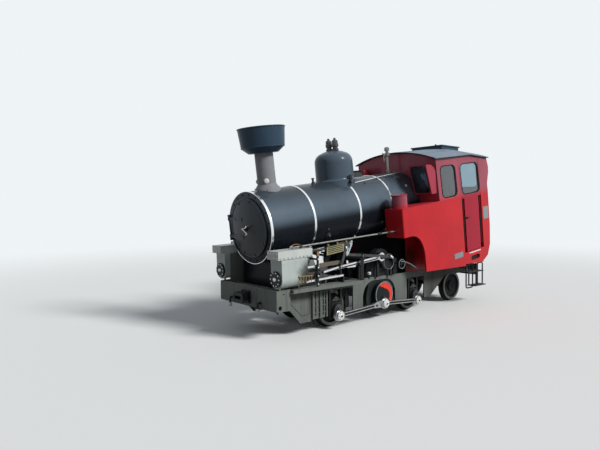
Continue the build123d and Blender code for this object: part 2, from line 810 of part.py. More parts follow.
# Whistle ahead of the cab: profile as (radius, height above the wrapper)
whistle_u = -880
whistle_profile = [(0, -30), (44, -30), (44, 60), (26, 80), (26, 352), (58, 372), (58, 430),
                   (30, 442), (30, 464), (54, 474), (54, 536), (34, 556), (0, 560)]
with BuildPart() as whistle:
    plane = Plane(origin=tilted_point(whistle_u, 0, boiler_radius), x_dir=tilted_side.x_dir,
                  z_dir=tilted_side.z_dir)
    with BuildSketch(plane):
        with BuildLine():
            Polyline(*whistle_profile, close=True)
        make_face()
    revolve(axis=Axis(plane.origin, tilted_side.y_dir))
    # Valve lever and its link down to the wrapper
    with BuildSketch(tilted_at(8)):
        with BuildLine():
            Polyline((whistle_u, boiler_radius + 384), (whistle_u + 150, boiler_radius + 440),
                     (whistle_u + 156, boiler_radius + 424), (whistle_u + 120, boiler_radius + 396),
                     (whistle_u + 120, boiler_radius + 250), (whistle_u + 104, boiler_radius + 250),
                     (whistle_u + 104, boiler_radius + 390), (whistle_u, boiler_radius + 366), close=True)
        make_face()
        with Locations((whistle_u + 60, boiler_radius + 300)):
            Rectangle(120, 18)
    extrude(amount=16)
    with BuildSketch(cross_plane(tilted_side, whistle_u - 100)):
        Circle(boiler_radius + seat_gap)
    extrude(amount=200, mode=Mode.SUBTRACT)
finish(whistle, "whistle")

# Saddle under the smokebox
saddle_rear_x = 2145
saddle_front_x = frame_front_x - 211
saddle_mid_x = (saddle_front_x + saddle_rear_x) / 2
saddle_length = saddle_front_x - saddle_rear_x
saddle_top_z = 1450
with BuildPart() as smokebox_saddle:
    with BuildSketch(Plane.XY.offset(560)):
        with Locations((saddle_mid_x, 0)):
            Rectangle(saddle_length, 1120)
    extrude(amount=saddle_top_z - 560)
    with BuildSketch(cross_plane(tilted_side, smokebox_rear_u - 300)):
        Circle(boiler_radius + seat_gap)
    extrude(amount=1500, mode=Mode.SUBTRACT)
    with BuildSketch(Plane.XY.offset(700)):
        with Locations((saddle_mid_x, 0)):
            Rectangle(saddle_length, 2 * frame_inner_y)
    extrude(amount=60)
finish(smokebox_saddle, "smokebox_saddle")

# Side tanks: a closed box beside the firebox with a skirt that is cut out in a quarter ellipse
waist_drop_rear_u = -1905
arch_end_u = -488
arch_start_u = -137
arch_depth = 500
plate_cut_w = -1900
inner_plate_front_u = -444


def cut_below(z):
    """Trim the current part under a level height."""
    depth = 2 * boiler_axis_z
    with Locations((0, 0, z - depth / 2)):
        Box(2 * length_over_couplers, 4 * cab_half_width, depth, mode=Mode.SUBTRACT)


# Water fillers on the tank tops, closed by hinged lids
filler_u = -60
filler_y = cab_half_width - 200
filler_radius = 150
filler_top_w = 195
filler_hinge_y = filler_y - filler_radius - 18
filler_hinge_w = filler_top_w + 10
filler_pin_radius = 6
lid_lug_half = 30
lid_lift = 5
tank_rear_u = cab_front_u + seat_gap
with BuildPart() as side_tanks:
    with BuildSketch(tilted_at(cab_half_width)):
        with BuildLine():
            Polyline((tank_front_u, waist_w), (tank_front_u, tank_bottom_w),
                     (tank_rear_u, tank_bottom_w), (tank_rear_u, waist_w), close=True)
        make_face()
    extrude(amount=cab_half_width - tank_inner_y)
    tank_corner = side_tanks.edges().filter_by(tilted_up).sort_by(Axis.X)[-2:].sort_by(Axis.Y)[-1]
    fillet(tank_corner, 22)
    with BuildSketch(tilted_at(cab_half_width)):
        arch_reach = arch_start_u - arch_end_u
        with BuildLine():
            Polyline((tank_rear_u, waist_w), (waist_drop_rear_u, waist_w),
                     (waist_drop_rear_u, plate_cut_w), (arch_start_u, plate_cut_w), (arch_start_u, tank_bottom_w),
                     (tank_rear_u, tank_bottom_w), close=True)
        make_face()
        with Locations((arch_start_u, tank_bottom_w - arch_depth)):
            Ellipse(arch_reach, arch_depth, mode=Mode.SUBTRACT)
        with Locations((arch_start_u, tank_bottom_w - arch_depth - 500)):
            Rectangle(2 * arch_reach, 1000, mode=Mode.SUBTRACT)
    extrude(amount=cab_wall)
    cut_below(skirt_bottom_z)
    # Inner plates that stand on the frames
    with BuildSketch(tilted_at(tank_inner_y + 20)):
        with BuildLine():
            Polyline((inner_plate_front_u, tank_bottom_w), (cab_front_u + 5, tank_bottom_w),
                     (cab_front_u + 5, plate_cut_w), (inner_plate_front_u + 160, plate_cut_w), close=True)
        make_face()
    extrude(amount=20)
    cut_below(frame_top_z + seat_gap)
    with BuildSketch(top_plane(tilted_side, waist_w - 1)):
        with Locations((filler_u, filler_y)):
            Circle(filler_radius)
            Circle(filler_radius - 12, mode=Mode.SUBTRACT)
    extrude(amount=filler_top_w - waist_w + 1)
    with BuildSketch(top_plane(tilted_side, waist_w + 1)):
        with Locations((filler_u, filler_y)):
            Circle(filler_radius - 12)
    extrude(amount=-260, mode=Mode.SUBTRACT)
    # Hinge lugs and pin of the lid
    for u in (filler_u - lid_lug_half - 16, filler_u + lid_lug_half + 4):
        with BuildSketch(cross_plane(tilted_side, u)):
            with Locations((filler_hinge_y, filler_hinge_w)):
                Circle(filler_pin_radius + 4)
            with Locations((filler_hinge_y + 24, filler_hinge_w - 34)):
                Circle(10)
            make_hull()
        extrude(amount=12)
    with BuildSketch(cross_plane(tilted_side, filler_u - lid_lug_half - 16)):
        with Locations((filler_hinge_y, filler_hinge_w)):
            Circle(filler_pin_radius)
    extrude(amount=2 * lid_lug_half + 32)
    mirror(about=Plane.XZ)
finish(side_tanks, "side_tanks")


def filler_lid(side):
    with BuildPart() as made:
        with BuildSketch(top_plane(tilted_side, filler_top_w + lid_lift)):
            with Locations((filler_u, side * filler_y)):
                Circle(filler_radius + 6)
        extrude(amount=16)
        fillet(made.faces().sort_by(Axis.Z)[-1].edges(), 6)
        with BuildSketch(cross_plane(tilted_side, filler_u - lid_lug_half)):
            with Locations((side * filler_hinge_y, filler_hinge_w)):
                Circle(filler_pin_radius + 7)
            with Locations((side * (filler_hinge_y + 25), filler_hinge_w + 3)):
                Rectangle(50, 14)
            with Locations((side * filler_hinge_y, filler_hinge_w)):
                Circle(filler_pin_radius + running_gap, mode=Mode.SUBTRACT)
        extrude(amount=2 * lid_lug_half)
    return made


lid_left = filler_lid(1)
finish(lid_left, "filler_lid_left")
lid_right = filler_lid(-1)
finish(lid_right, "filler_lid_right")


# Cab walls
def roof_curve_w(y, edge_w, half_width, rise):
    """Height of a circular roof line over a half width."""
    radius = (half_width ** 2 + rise ** 2) / (2 * rise)
    return edge_w + rise - radius + (radius ** 2 - y ** 2) ** 0.5


lean_tan = tan(radians(cab_lean))
eave_y = cab_half_width - (eave_w - waist_w) * lean_tan
lean_plane = Plane(origin=tilted_point(0, cab_half_width, waist_w), x_dir=tilted_side.x_dir,
                   z_dir=(tilted_side.z_dir * cos(radians(cab_lean))
                          - tilted_side.y_dir * sin(radians(cab_lean))))
wall_height = (eave_w - waist_w) / cos(radians(cab_lean))
door_front_u = -1905
door_rear_u = -2680
rear_eave_w = 730
rear_eave_u = -3032
rear_drop = (eave_w - rear_eave_w) / (roof_bend_u - rear_eave_u)

# Side windows: front u, rear u, bottom and top measured up from the waist
window_one = (-1225, -1760, 52, 708)
window_two = (-1950, -2640, 45, 700)
window_corner = 110
door_opening_top = 800

side_foot = 2
door_hinge_u = -2690
door_hinge_y = cab_half_width - 110
door_hinge_ws = (-1120, -200)
door_eye_height = 60
door_pin_radius = 8
side_top = wall_height + 0.6
with BuildPart() as cab_sides:
    with BuildSketch(lean_plane):
        with BuildLine():
            Polyline((cab_front_u, side_foot), (cab_front_u, side_top), (roof_bend_u, side_top),
                     (cab_rear_u - 60, side_top - 1.5 - rear_drop * (roof_bend_u - cab_rear_u + 60)),
                     (cab_rear_u - 110, 560), (cab_rear_u - 95, 440), (cab_rear_u, 190),
                     (cab_rear_u, side_foot), close=True)
        make_face()
        with Locations(((window_one[0] + window_one[1]) / 2, (window_one[2] + window_one[3]) / 2)):
            RectangleRounded(window_one[0] - window_one[1], window_one[3] - window_one[2],
                             window_corner, mode=Mode.SUBTRACT)
        with Locations(((door_front_u + door_rear_u) / 2, 0)):
            Rectangle(door_front_u - door_rear_u, 2 * door_opening_top, mode=Mode.SUBTRACT)
    extrude(amount=cab_wall)
    # Lower panel behind the door and the skirt under the sill
    with BuildSketch(tilted_at(cab_half_width)):
        with BuildLine():
            Polyline((door_rear_u, waist_w + 5), (cab_rear_u, waist_w + 5), (cab_rear_u, floor_w + 457),
                     (cab_rear_u + 40, floor_w + 30), (cab_rear_u + 160, floor_w - 210),
                     (cab_rear_u + 365, floor_w - 310), (cab_rear_u + 365, floor_w - 520),
                     (waist_drop_rear_u - seat_gap, floor_w - 520),
                     (waist_drop_rear_u - seat_gap, floor_w), (door_rear_u, floor_w), close=True)
        make_face()
        with Locations(((door_front_u + door_rear_u) / 2 - 14, floor_w - 160)):
            SlotOverall(350, 105, mode=Mode.SUBTRACT)
    extrude(amount=cab_wall)
    cut_below(skirt_bottom_z + 40)
    # Hinge lugs on the rear door posts, with the hinge pins
    for w in door_hinge_ws:
        for lug_w in (w - door_eye_height / 2 - 22, w + door_eye_height / 2 + 2):
            with BuildSketch(top_plane(tilted_side, lug_w)):
                with Locations((door_hinge_u, door_hinge_y)):
                    Circle(14)
                with Locations((door_rear_u - 28, cab_half_width - cab_wall + 4)):
                    Circle(12)
                make_hull()
            extrude(amount=20)
        with BuildSketch(top_plane(tilted_side, w - door_eye_height / 2 - 22)):
            with Locations((door_hinge_u, door_hinge_y)):
                Circle(door_pin_radius)
        extrude(amount=door_eye_height + 44)
    mirror(about=Plane.XZ)
finish(cab_sides, "cab_sides")

# Cab doors: flush panel with two recessed strips behind the handrails
door_gap = 8
door_swing_gap = 16
leaf_thick = 36
panel_front_u = -2010
panel_rear_u = -2565
recess_depth = 60


def cab_door():
    front_u = door_front_u - door_swing_gap
    rear_u = door_rear_u + door_gap
    with BuildPart() as made:
        with BuildSketch(lean_plane):
            with Locations(((front_u + rear_u) / 2, (4 + 792) / 2)):
                Rectangle(front_u - rear_u, 788)
            with Locations(((window_two[0] + window_two[1]) / 2, (window_two[2] + window_two[3]) / 2)):
                RectangleRounded(window_two[0] - window_two[1], window_two[3] - window_two[2],
                                 window_corner, mode=Mode.SUBTRACT)
        extrude(amount=leaf_thick)
        with BuildSketch(tilted_at(cab_half_width - 4)):
            with Locations(((panel_front_u + panel_rear_u) / 2, (waist_w + 6 + floor_w + 12) / 2)):
                Rectangle(panel_front_u - panel_rear_u, waist_w + 6 - floor_w - 12)
        extrude(amount=leaf_thick + recess_depth - 4)
        with BuildSketch(tilted_at(cab_half_width - recess_depth)):
            with Locations(((front_u + rear_u) / 2, (waist_w + floor_w + 12) / 2)):
                Rectangle(front_u - rear_u, waist_w - floor_w - 12)
        extrude(amount=leaf_thick)
        with BuildSketch(tilted_at(cab_half_width - 4)):
            with Locations(((front_u + rear_u) / 2, waist_w - 20)):
                Rectangle(front_u - rear_u, 50)
        extrude(amount=leaf_thick + recess_depth - 4)
        leaf_inner_y = cab_half_width - recess_depth - leaf_thick
        for w in door_hinge_ws:
            with BuildSketch(top_plane(tilted_side, w - door_eye_height / 2)):
                with Locations((door_hinge_u + 25, leaf_inner_y - 12)):
                    Rectangle(50, 32)
                with Locations((door_hinge_u, door_hinge_y)):
                    Circle(16)
                    Circle(door_pin_radius + running_gap, mode=Mode.SUBTRACT)
            extrude(amount=door_eye_height)
    return made


cab_door_left = cab_door()
finish(cab_door_left, "cab_door_left")
with BuildPart() as cab_door_right:
    mirror(cab_door_left.part, about=Plane.XZ)
finish(cab_door_right, "cab_door_right")


# End walls: between the side walls, arched under the roof
def end_wall_outline(base_w, edge_w, half_width):
    """Outline of an end wall in its own plane: Y across and up from the boiler's axis."""
    inner_low = cab_half_width - cab_wall - 2 * seat_gap
    crown_w = roof_curve_w(0, edge_w, half_width, roof_rise)
    edge_top_w = roof_curve_w(half_width - cab_wall, edge_w, half_width, roof_rise)
    inner_high = inner_low - (edge_top_w - waist_w) * lean_tan
    with BuildSketch() as made:
        with BuildLine():
            Polyline((inner_high, edge_top_w - 4), (inner_low, waist_w), (inner_low, base_w),
                     (-inner_low, base_w), (-inner_low, waist_w), (-inner_high, edge_top_w - 4))
            ThreePointArc((-inner_high, edge_top_w - 4), (0, crown_w - 4), (inner_high, edge_top_w - 4))
        make_face()
    return made.sketch


front_wall_thick = 30
rear_wall_thick = 30
rear_window_y = 560
rear_window_w = 350
rear_window_size = 560
rear_window_corner = 90

# Hoods over the two front windows: each leans forward and carries its pane in its own front
hood_outer_y = cab_half_width - 36
hood_inner_y = boiler_radius + 14
hood_sheet = 16
hood_low_w = 130
hood_high_w = 735
hood_foot_u = cab_front_u + 185
hood_brow_u = cab_front_u + 325
hood_back_w = 560
with BuildPart() as cab_end_walls:
    with BuildSketch(cross_plane(tilted_side, cab_front_u - front_wall_thick)):
        add(end_wall_outline(floor_w + 12, eave_w, eave_y))
        Circle(boiler_radius + 2, mode=Mode.SUBTRACT)
        with Locations((0, (floor_w + 12) / 2)):
            Rectangle(2 * firebox_half_width + 10, -(floor_w + 12) + 4, mode=Mode.SUBTRACT)
        for side in (-1, 1):
            with Locations((side * (hood_outer_y + hood_inner_y) / 2, (hood_low_w + hood_back_w) / 2)):
                Rectangle(hood_outer_y - hood_inner_y - 2 * hood_sheet,
                          hood_back_w - hood_low_w - 2 * hood_sheet, mode=Mode.SUBTRACT)
    extrude(amount=front_wall_thick)
    with BuildSketch(cross_plane(tilted_side, cab_rear_u + 4)):
        add(end_wall_outline(-1300, rear_eave_w + 8, eave_y))
        for y in (-rear_window_y, rear_window_y):
            with Locations((y, rear_window_w)):
                RectangleRounded(rear_window_size, rear_window_size, rear_window_corner, mode=Mode.SUBTRACT)
    extrude(amount=rear_wall_thick)
finish(cab_end_walls, "cab_end_walls")

hood_face_length = hypot(hood_brow_u - hood_foot_u, hood_high_w - hood_low_w)
hood_face_lean = (hood_brow_u - hood_foot_u) / hood_face_length
hood_face_rise = (hood_high_w - hood_low_w) / hood_face_length
hood_face_up = tilted_side.x_dir * hood_face_lean + tilted_side.y_dir * hood_face_rise
hood_face_out = tilted_side.x_dir * hood_face_rise - tilted_side.y_dir * hood_face_lean
hood_pane_width = hood_outer_y - hood_inner_y - 2 * 38
hood_pane_height = hood_face_length - 2 * 34


def hood_face_plane(side, out):
    middle = tilted_point((hood_brow_u + hood_foot_u) / 2, side * (hood_outer_y + hood_inner_y) / 2,
                          (hood_high_w + hood_low_w) / 2)
    return Plane(origin=middle + hood_face_out * out, x_dir=(0, 1, 0), z_dir=hood_face_out)


def hood_profile(inset):
    """Side outline of a hood, open to the wall, drawn in by the sheet's thickness."""
    rear_u = cab_front_u + seat_gap - 2 * inset
    return [(rear_u, hood_low_w + inset), (hood_foot_u - inset, hood_low_w + inset),
            (hood_brow_u - inset, hood_high_w - inset), (hood_brow_u - 165, hood_high_w - 10 - inset),
            (cab_front_u + 60, hood_high_w - 75 - inset), (rear_u, hood_back_w - inset)]


with BuildPart() as window_hoods:
    for side in (-1, 1):
        with BuildSketch(tilted_at(hood_outer_y if side > 0 else -hood_inner_y)):
            with BuildLine():
                Polyline(*hood_profile(0), close=True)
            make_face()
        extrude(amount=hood_outer_y - hood_inner_y)
        inner_start = hood_outer_y - hood_sheet if side > 0 else -hood_inner_y - hood_sheet
        with BuildSketch(tilted_at(inner_start)):
            with BuildLine():
                Polyline(*hood_profile(hood_sheet), close=True)
            make_face()
        extrude(amount=hood_outer_y - hood_inner_y - 2 * hood_sheet, mode=Mode.SUBTRACT)
        with BuildSketch(hood_face_plane(side, 40)):
            RectangleRounded(hood_pane_width, hood_pane_height, 50)
        extrude(amount=-100, mode=Mode.SUBTRACT)
finish(window_hoods, "window_hoods")

with BuildPart() as cab_floor:
    with BuildSketch(top_plane(tilted_side, floor_w - floor_thick)):
        with Locations(((cab_front_u - 40 + cab_rear_u + 40) / 2, 0)):
            Rectangle(cab_front_u - cab_rear_u - 80 - 8, 2 * (cab_half_width - cab_wall - 1))
        with Locations((cab_front_u - 250, 0)):
            Rectangle(600, 2 * firebox_half_width + 200, mode=Mode.SUBTRACT)
    extrude(amount=floor_thick)
finish(cab_floor, "cab_floor")

# Roof: one curved sheet, level to the bend and then falling to the rear
with BuildPart() as cab_roof:
    outer_half = eave_y + roof_overhang
    eave_out_w = roof_curve_w(outer_half, eave_w, eave_y, roof_rise)
    with BuildSketch(cross_plane(tilted_side, roof_bend_u)) as roof_section:
        crown_w = eave_w + roof_rise
        with BuildLine():
            under = ThreePointArc((-outer_half, eave_out_w + 1), (0, crown_w + 1), (outer_half, eave_out_w + 1))
            rise_edge = Line(under @ 1, (outer_half, eave_out_w + roof_thick))
            over = ThreePointArc(rise_edge @ 1, (0, crown_w + roof_thick), (-outer_half, eave_out_w + roof_thick))
            Line(over @ 1, under @ 0)
        make_face()
    extrude(amount=cab_front_u - roof_bend_u + roof_overhang)
    fall = Vector(*tilted_side.x_dir) * -1 + Vector(*tilted_side.y_dir) * -rear_drop
    extrude(roof_section.sketch, amount=(roof_bend_u - rear_eave_u + 50) * fall.length, dir=fall)
finish(cab_roof, "cab_roof")

# Roof ventilator over the middle of the rear half
hatch_half_width = 420
hatch_front_u = -2300
hatch_rear_u = -2960
hatch_height = 100
hatch_lid_lip = 22
hatch_front = tilted_point(hatch_front_u, 0, eave_w + roof_rise)
hatch_rear = tilted_point(hatch_rear_u, 0, eave_w + roof_rise - rear_drop * (roof_bend_u - hatch_rear_u))
with BuildPart() as hatch_box:
    with BuildSketch(at_y(hatch_half_width)):
        with BuildLine():
            Polyline((hatch_front.X, hatch_front.Z - 60), (hatch_front.X, hatch_front.Z + hatch_height),
                     (hatch_rear.X, hatch_rear.Z + hatch_height + 10), (hatch_rear.X, hatch_rear.Z - 60),
                     close=True)
        make_face()
    extrude(amount=2 * hatch_half_width)
    with BuildSketch(at_y(hatch_half_width + hatch_lid_lip)):
        with BuildLine():
            Polyline((hatch_front.X + hatch_lid_lip, hatch_front.Z + hatch_height - 26),
                     (hatch_front.X + hatch_lid_lip, hatch_front.Z + hatch_height),
                     (hatch_rear.X - hatch_lid_lip, hatch_rear.Z + hatch_height + 10),
                     (hatch_rear.X - hatch_lid_lip, hatch_rear.Z + hatch_height - 16), close=True)
        make_face()
    extrude(amount=2 * (hatch_half_width + hatch_lid_lip))
    add(cab_roof.part, mode=Mode.SUBTRACT)
with BuildPart() as roof_hatch:
    add(hatch_box.part.solids().sort_by(Axis.Z)[-1])
finish(roof_hatch, "roof_hatch")

# Glass
with BuildPart() as cab_glass:
    with BuildSketch(lean_plane.offset(14)):
        with Locations(((window_one[0] + window_one[1]) / 2, (window_one[2] + window_one[3]) / 2)):
            RectangleRounded(window_one[0] - window_one[1] - 2 * seat_gap,
                             window_one[3] - window_one[2] - 2 * seat_gap, window_corner)
    extrude(amount=6)
    mirror(about=Plane.XZ)
    with BuildSketch(cross_plane(tilted_side, cab_rear_u + 16)):
        for y in (-rear_window_y, rear_window_y):
            with Locations((y, rear_window_w)):
                RectangleRounded(rear_window_size - 2 * seat_gap, rear_window_size - 2 * seat_gap,
                                 rear_window_corner)
    extrude(amount=6)
finish(cab_glass, "cab_glass")
with BuildPart() as hood_glass:
    for side in (-1, 1):
        with BuildSketch(hood_face_plane(side, -10)):
            RectangleRounded(hood_pane_width - 2 * seat_gap, hood_pane_height - 2 * seat_gap, 50)
        extrude(amount=6)
finish(hood_glass, "hood_glass")


def door_pane():
    with BuildPart() as made:
        with BuildSketch(lean_plane.offset(14)):
            with Locations(((window_two[0] + window_two[1]) / 2, (window_two[2] + window_two[3]) / 2)):
                RectangleRounded(window_two[0] - window_two[1] - 2 * seat_gap,
                                 window_two[3] - window_two[2] - 2 * seat_gap, window_corner)
        extrude(amount=6)
    return made


door_glass_left = door_pane()
finish(door_glass_left, "door_glass_left")
with BuildPart() as door_glass_right:
    mirror(door_glass_left.part, about=Plane.XZ)
finish(door_glass_right, "door_glass_right")

# Entrance handrails in front of the recessed strips, held by brackets on the door posts
rail_radius = 14
rail_y = cab_half_width - 22
rail_low_w = -1165
rail_high_w = -105
with BuildPart() as handrails:
    for rail_u, post_u in ((-1958, door_front_u - seat_gap), (-2623, door_rear_u + seat_gap)):
        with BuildSketch(top_plane(tilted_side, rail_low_w)):
            with Locations((rail_u, rail_y)):
                Circle(rail_radius)
        extrude(amount=rail_high_w - rail_low_w)
        for w in (rail_low_w + 15, (rail_low_w + rail_high_w) / 2, rail_high_w - 31):
            with BuildSketch(top_plane(tilted_side, w)):
                with Locations(((rail_u + post_u) / 2, rail_y)):
                    Rectangle(abs(rail_u - post_u), 12)
            extrude(amount=16)
    mirror(about=Plane.XZ)
finish(handrails, "handrails")

# Entrance steps on looped hangers
# step: from x, to x, z, inner y, outer y
step_table = [
    (frame_rear_x + 80, frame_rear_x + 700, 690, 880, 1090),
    (frame_rear_x, frame_rear_x + 460, 370, 900, 1100),
]
hanger_xs = (frame_rear_x + 120, frame_rear_x + 420)
hanger_y_outer = 930
hanger_brace_z = 760
with BuildPart() as entrance_steps:
    for x0, x1, z, y0, y1 in step_table:
        with BuildSketch(Plane.XY.offset(z)):
            with Locations(((x0 + x1) / 2, (y0 + y1) / 2)):
                Rectangle(x1 - x0, y1 - y0)
        extrude(amount=16)
    for x in hanger_xs:
        with BuildSketch(at_y(hanger_y_outer)):
            with Locations((x, (step_table[1][2] + 1000) / 2)):
                Rectangle(28, 1000 - step_table[1][2])
        extrude(amount=18)
        with BuildSketch(Plane.YZ.offset(x - 14)):
            with Locations(((frame_outer_y + hanger_y_outer) / 2, hanger_brace_z)):
                Rectangle(hanger_y_outer - frame_outer_y, 18)
        extrude(amount=28)
    mirror(about=Plane.XZ)
finish(entrance_steps, "entrance_steps")

# Trailing axle frame, inside the wheels
with BuildPart() as trailing_frame:
    with BuildSketch(at_y(440)):
        with BuildLine():
            front_x = frame_rear_x + 1185 - seat_gap
            rear_x = frame_rear_x + 135 + seat_gap
            Polyline((front_x, 660), (front_x, 800), (rear_x, 800), (rear_x, 660),
                     (trailing_axle_x - 193, 640), (trailing_axle_x - 113, 250),
                     (trailing_axle_x + 117, 250), (trailing_axle_x + 197, 640), close=True)
        make_face()
        with Locations((trailing_axle_x, axle_z)):
            Circle(journal_radius + running_gap, mode=Mode.SUBTRACT)
    extrude(amount=40)
    mirror(about=Plane.XZ)
finish(trailing_frame, "trailing_frame")

# Cylinders with steam chests
casing_front_s = 2705
casing_rear_s = 2170
casing_outer_y = 990
cylinder_radius = 160
chest_bottom_n = 318
chest_top_n = 455
with BuildPart() as cylinders:
    with BuildSketch(cross_plane(motion_side, casing_rear_s)):
        with Locations((motion_y, 0)):
            Circle(cylinder_radius)
        with Locations(((frame_outer_y + casing_outer_y) / 2, chest_bottom_n / 2)):
            Rectangle(casing_outer_y - frame_outer_y, chest_bottom_n)
        with Locations((frame_outer_y - 200, 0)):
            Rectangle(400, 1200, mode=Mode.SUBTRACT)
    extrude(amount=casing_front_s - casing_rear_s)
    with BuildSketch(cross_plane(motion_side, casing_rear_s - 100)):
        with Locations(((frame_outer_y + 10 + casing_outer_y + 12) / 2, (chest_bottom_n + chest_top_n) / 2)):
            Rectangle(casing_outer_y + 12 - frame_outer_y - 10, chest_top_n - chest_bottom_n)
    extrude(amount=casing_front_s - casing_rear_s + 175)
    mirror(about=Plane.XZ)
finish(cylinders, "cylinders")

rear_cover_thick = 40
with BuildPart() as cylinder_covers:
    with BuildSketch(cross_plane(motion_side, casing_front_s + seat_gap)):
        with Locations((motion_y + 6, 0)):
            Circle(cylinder_radius - 30)
    extrude(amount=32)
    with BuildSketch(cross_plane(motion_side, casing_rear_s - seat_gap)):
        with Locations((motion_y + 6, 0)):
            Circle(cylinder_radius - 26)
    extrude(amount=-rear_cover_thick)
    with BuildSketch(cross_plane(motion_side, casing_rear_s - 30)):
        with Locations((motion_y, 0)):
            Circle(56)
    extrude(amount=-80)
    with BuildSketch(cross_plane(motion_side, casing_rear_s)):
        with Locations((motion_y, 0)):
            Circle(28 + seat_gap)
    extrude(amount=-200, mode=Mode.SUBTRACT)
    mirror(about=Plane.XZ)
finish(cylinder_covers, "cylinder_covers")

# Slide bars, crosshead and piston rod, main rod
bar_gap_n = 104
bar_thick = 30
bar_rear_s = 1240
crosshead_s = 1720
with BuildPart() as slide_bars:
    bar_front_s = casing_rear_s - rear_cover_thick - 2 * seat_gap
    for n in (bar_gap_n + bar_thick / 2, -bar_gap_n - bar_thick / 2):
        with BuildSketch(motion_at(motion_y + 38)):
            with Locations(((bar_front_s + bar_rear_s) / 2, n)):
                Rectangle(bar_front_s - bar_rear_s, bar_thick)
        extrude(amount=76)
    mirror(about=Plane.XZ)
finish(slide_bars, "slide_bars")

sides = ((1, 0), (-1, 1))
crosshead_half = 34
main_rod_half = 18
crank_pin_s = stroke_throw * cos(radians(crank_angle))
crank_pin_n = stroke_throw * sin(radians(crank_angle))
main_rod_length = hypot(crosshead_s - crank_pin_s, crank_pin_n)


def motion_pin(quarter):
    """Main crank pin; the right side is a quarter turn ahead."""
    angle = radians(crank_angle + 90 * quarter)
    return stroke_throw * cos(angle), stroke_throw * sin(angle)


def crosshead_place(quarter):
    pin_s, pin_n = motion_pin(quarter)
    return pin_s + (main_rod_length ** 2 - pin_n ** 2) ** 0.5


# Return cranks on the main pins, a quarter turn behind them
return_throw = 90
return_inner_y = 853
return_outer_y = 867


def return_pin(quarter):
    angle = radians(crank_angle + 90 * quarter + 90)
    return return_throw * cos(angle), return_throw * sin(angle)


with BuildPart() as crossheads:
    shoe_n = bar_gap_n - seat_gap
    for side, quarter in sides:
        place = crosshead_place(quarter)
        with BuildSketch(cross_plane(motion_side, place)):
            with Locations((side * motion_y, 0)):
                Circle(28)
        extrude(amount=casing_rear_s - place - 20)
        with BuildSketch(motion_at(side * (motion_y + crosshead_half))):
            with BuildLine():
                Polyline((place + 70, 40), (place + 110, 80), (place + 120, shoe_n),
                         (place - 120, shoe_n), (place - 110, 80), (place - 40, 40),
                         (place - 40, -40), (place - 110, -80), (place - 120, -shoe_n),
                         (place + 120, -shoe_n), (place + 110, -80), (place + 70, -40), close=True)
            make_face()
        extrude(amount=side * 2 * crosshead_half)
        with BuildSketch(motion_at(side * (motion_y + main_rod_half + 2))):
            with Locations((place, 0)):
                Circle(66)
            with Locations((place - 80, 0)):
                Rectangle(160, 110)
        extrude(amount=side * 2 * (main_rod_half + 2), mode=Mode.SUBTRACT)
        with BuildSketch(motion_at(side * (motion_y + crosshead_half))):
            with Locations((place, 0)):
                Circle(24)
        extrude(amount=side * 2 * crosshead_half)
finish(crossheads, "crossheads")

with BuildPart() as main_rods:
    for side, quarter in sides:
        pin_s, pin_n = motion_pin(quarter)
        place = crosshead_place(quarter)
        with BuildSketch(motion_at(side * (motion_y + main_rod_half))):
            with Locations((place, 0)):
                Circle(23)
            with Locations((pin_s, pin_n)):
                Circle(34)
            make_hull()
            with Locations((place, 0)):
                Circle(56)
                Circle(24 + seat_gap, mode=Mode.SUBTRACT)
            with Locations((pin_s, pin_n)):
                Circle(82)
                Circle(48 + seat_gap, mode=Mode.SUBTRACT)
        extrude(amount=side * 2 * main_rod_half)
finish(main_rods, "main_rods")

with BuildPart() as crankshaft:
    with BuildSketch(motion_at(745)):
        Circle(80)
    extrude(amount=2 * 745)
    for side, quarter in sides:
        pin_s, pin_n = motion_pin(quarter)
        with BuildSketch(motion_at(side * 792)):
            Circle(110)
            with Locations((pin_s, pin_n)):
                Circle(78)
            make_hull()
            with Locations((-0.2 * pin_s, -0.2 * pin_n)):
                Circle(150)
        extrude(amount=side * 47)
        with BuildSketch(motion_at(side * return_inner_y)):
            with Locations((pin_s, pin_n)):
                Circle(48)
        extrude(amount=side * (return_inner_y - 792))
        with BuildSketch(motion_at(side * return_outer_y)):
            with Locations((pin_s, pin_n)):
                Circle(42)
            with Locations(return_pin(quarter)):
                Circle(26)
            make_hull()
        extrude(amount=side * (return_outer_y - return_inner_y))
finish(crankshaft, "crankshaft")

# Gear cases that carry the crankshaft over the jackshaft
case_inner_y = 530
case_floor_z = 96
with BuildPart() as gear_case:
    with BuildSketch(at_y(frame_inner_y)):
        with Locations((jackshaft_x, jackshaft_z)):
            Circle(385)
        with Locations((crank_centre_x, crank_centre_z)):
            Circle(225)
        make_hull()
        with Locations((jackshaft_x, jackshaft_z)):
            Circle(journal_radius + 15 + running_gap, mode=Mode.SUBTRACT)
        with Locations((crank_centre_x, crank_centre_z)):
            Circle(80 + seat_gap, mode=Mode.SUBTRACT)
    extrude(amount=frame_inner_y - case_inner_y)
    cut_below(case_floor_z)
    mirror(about=Plane.XZ)
finish(gear_case, "gear_case")

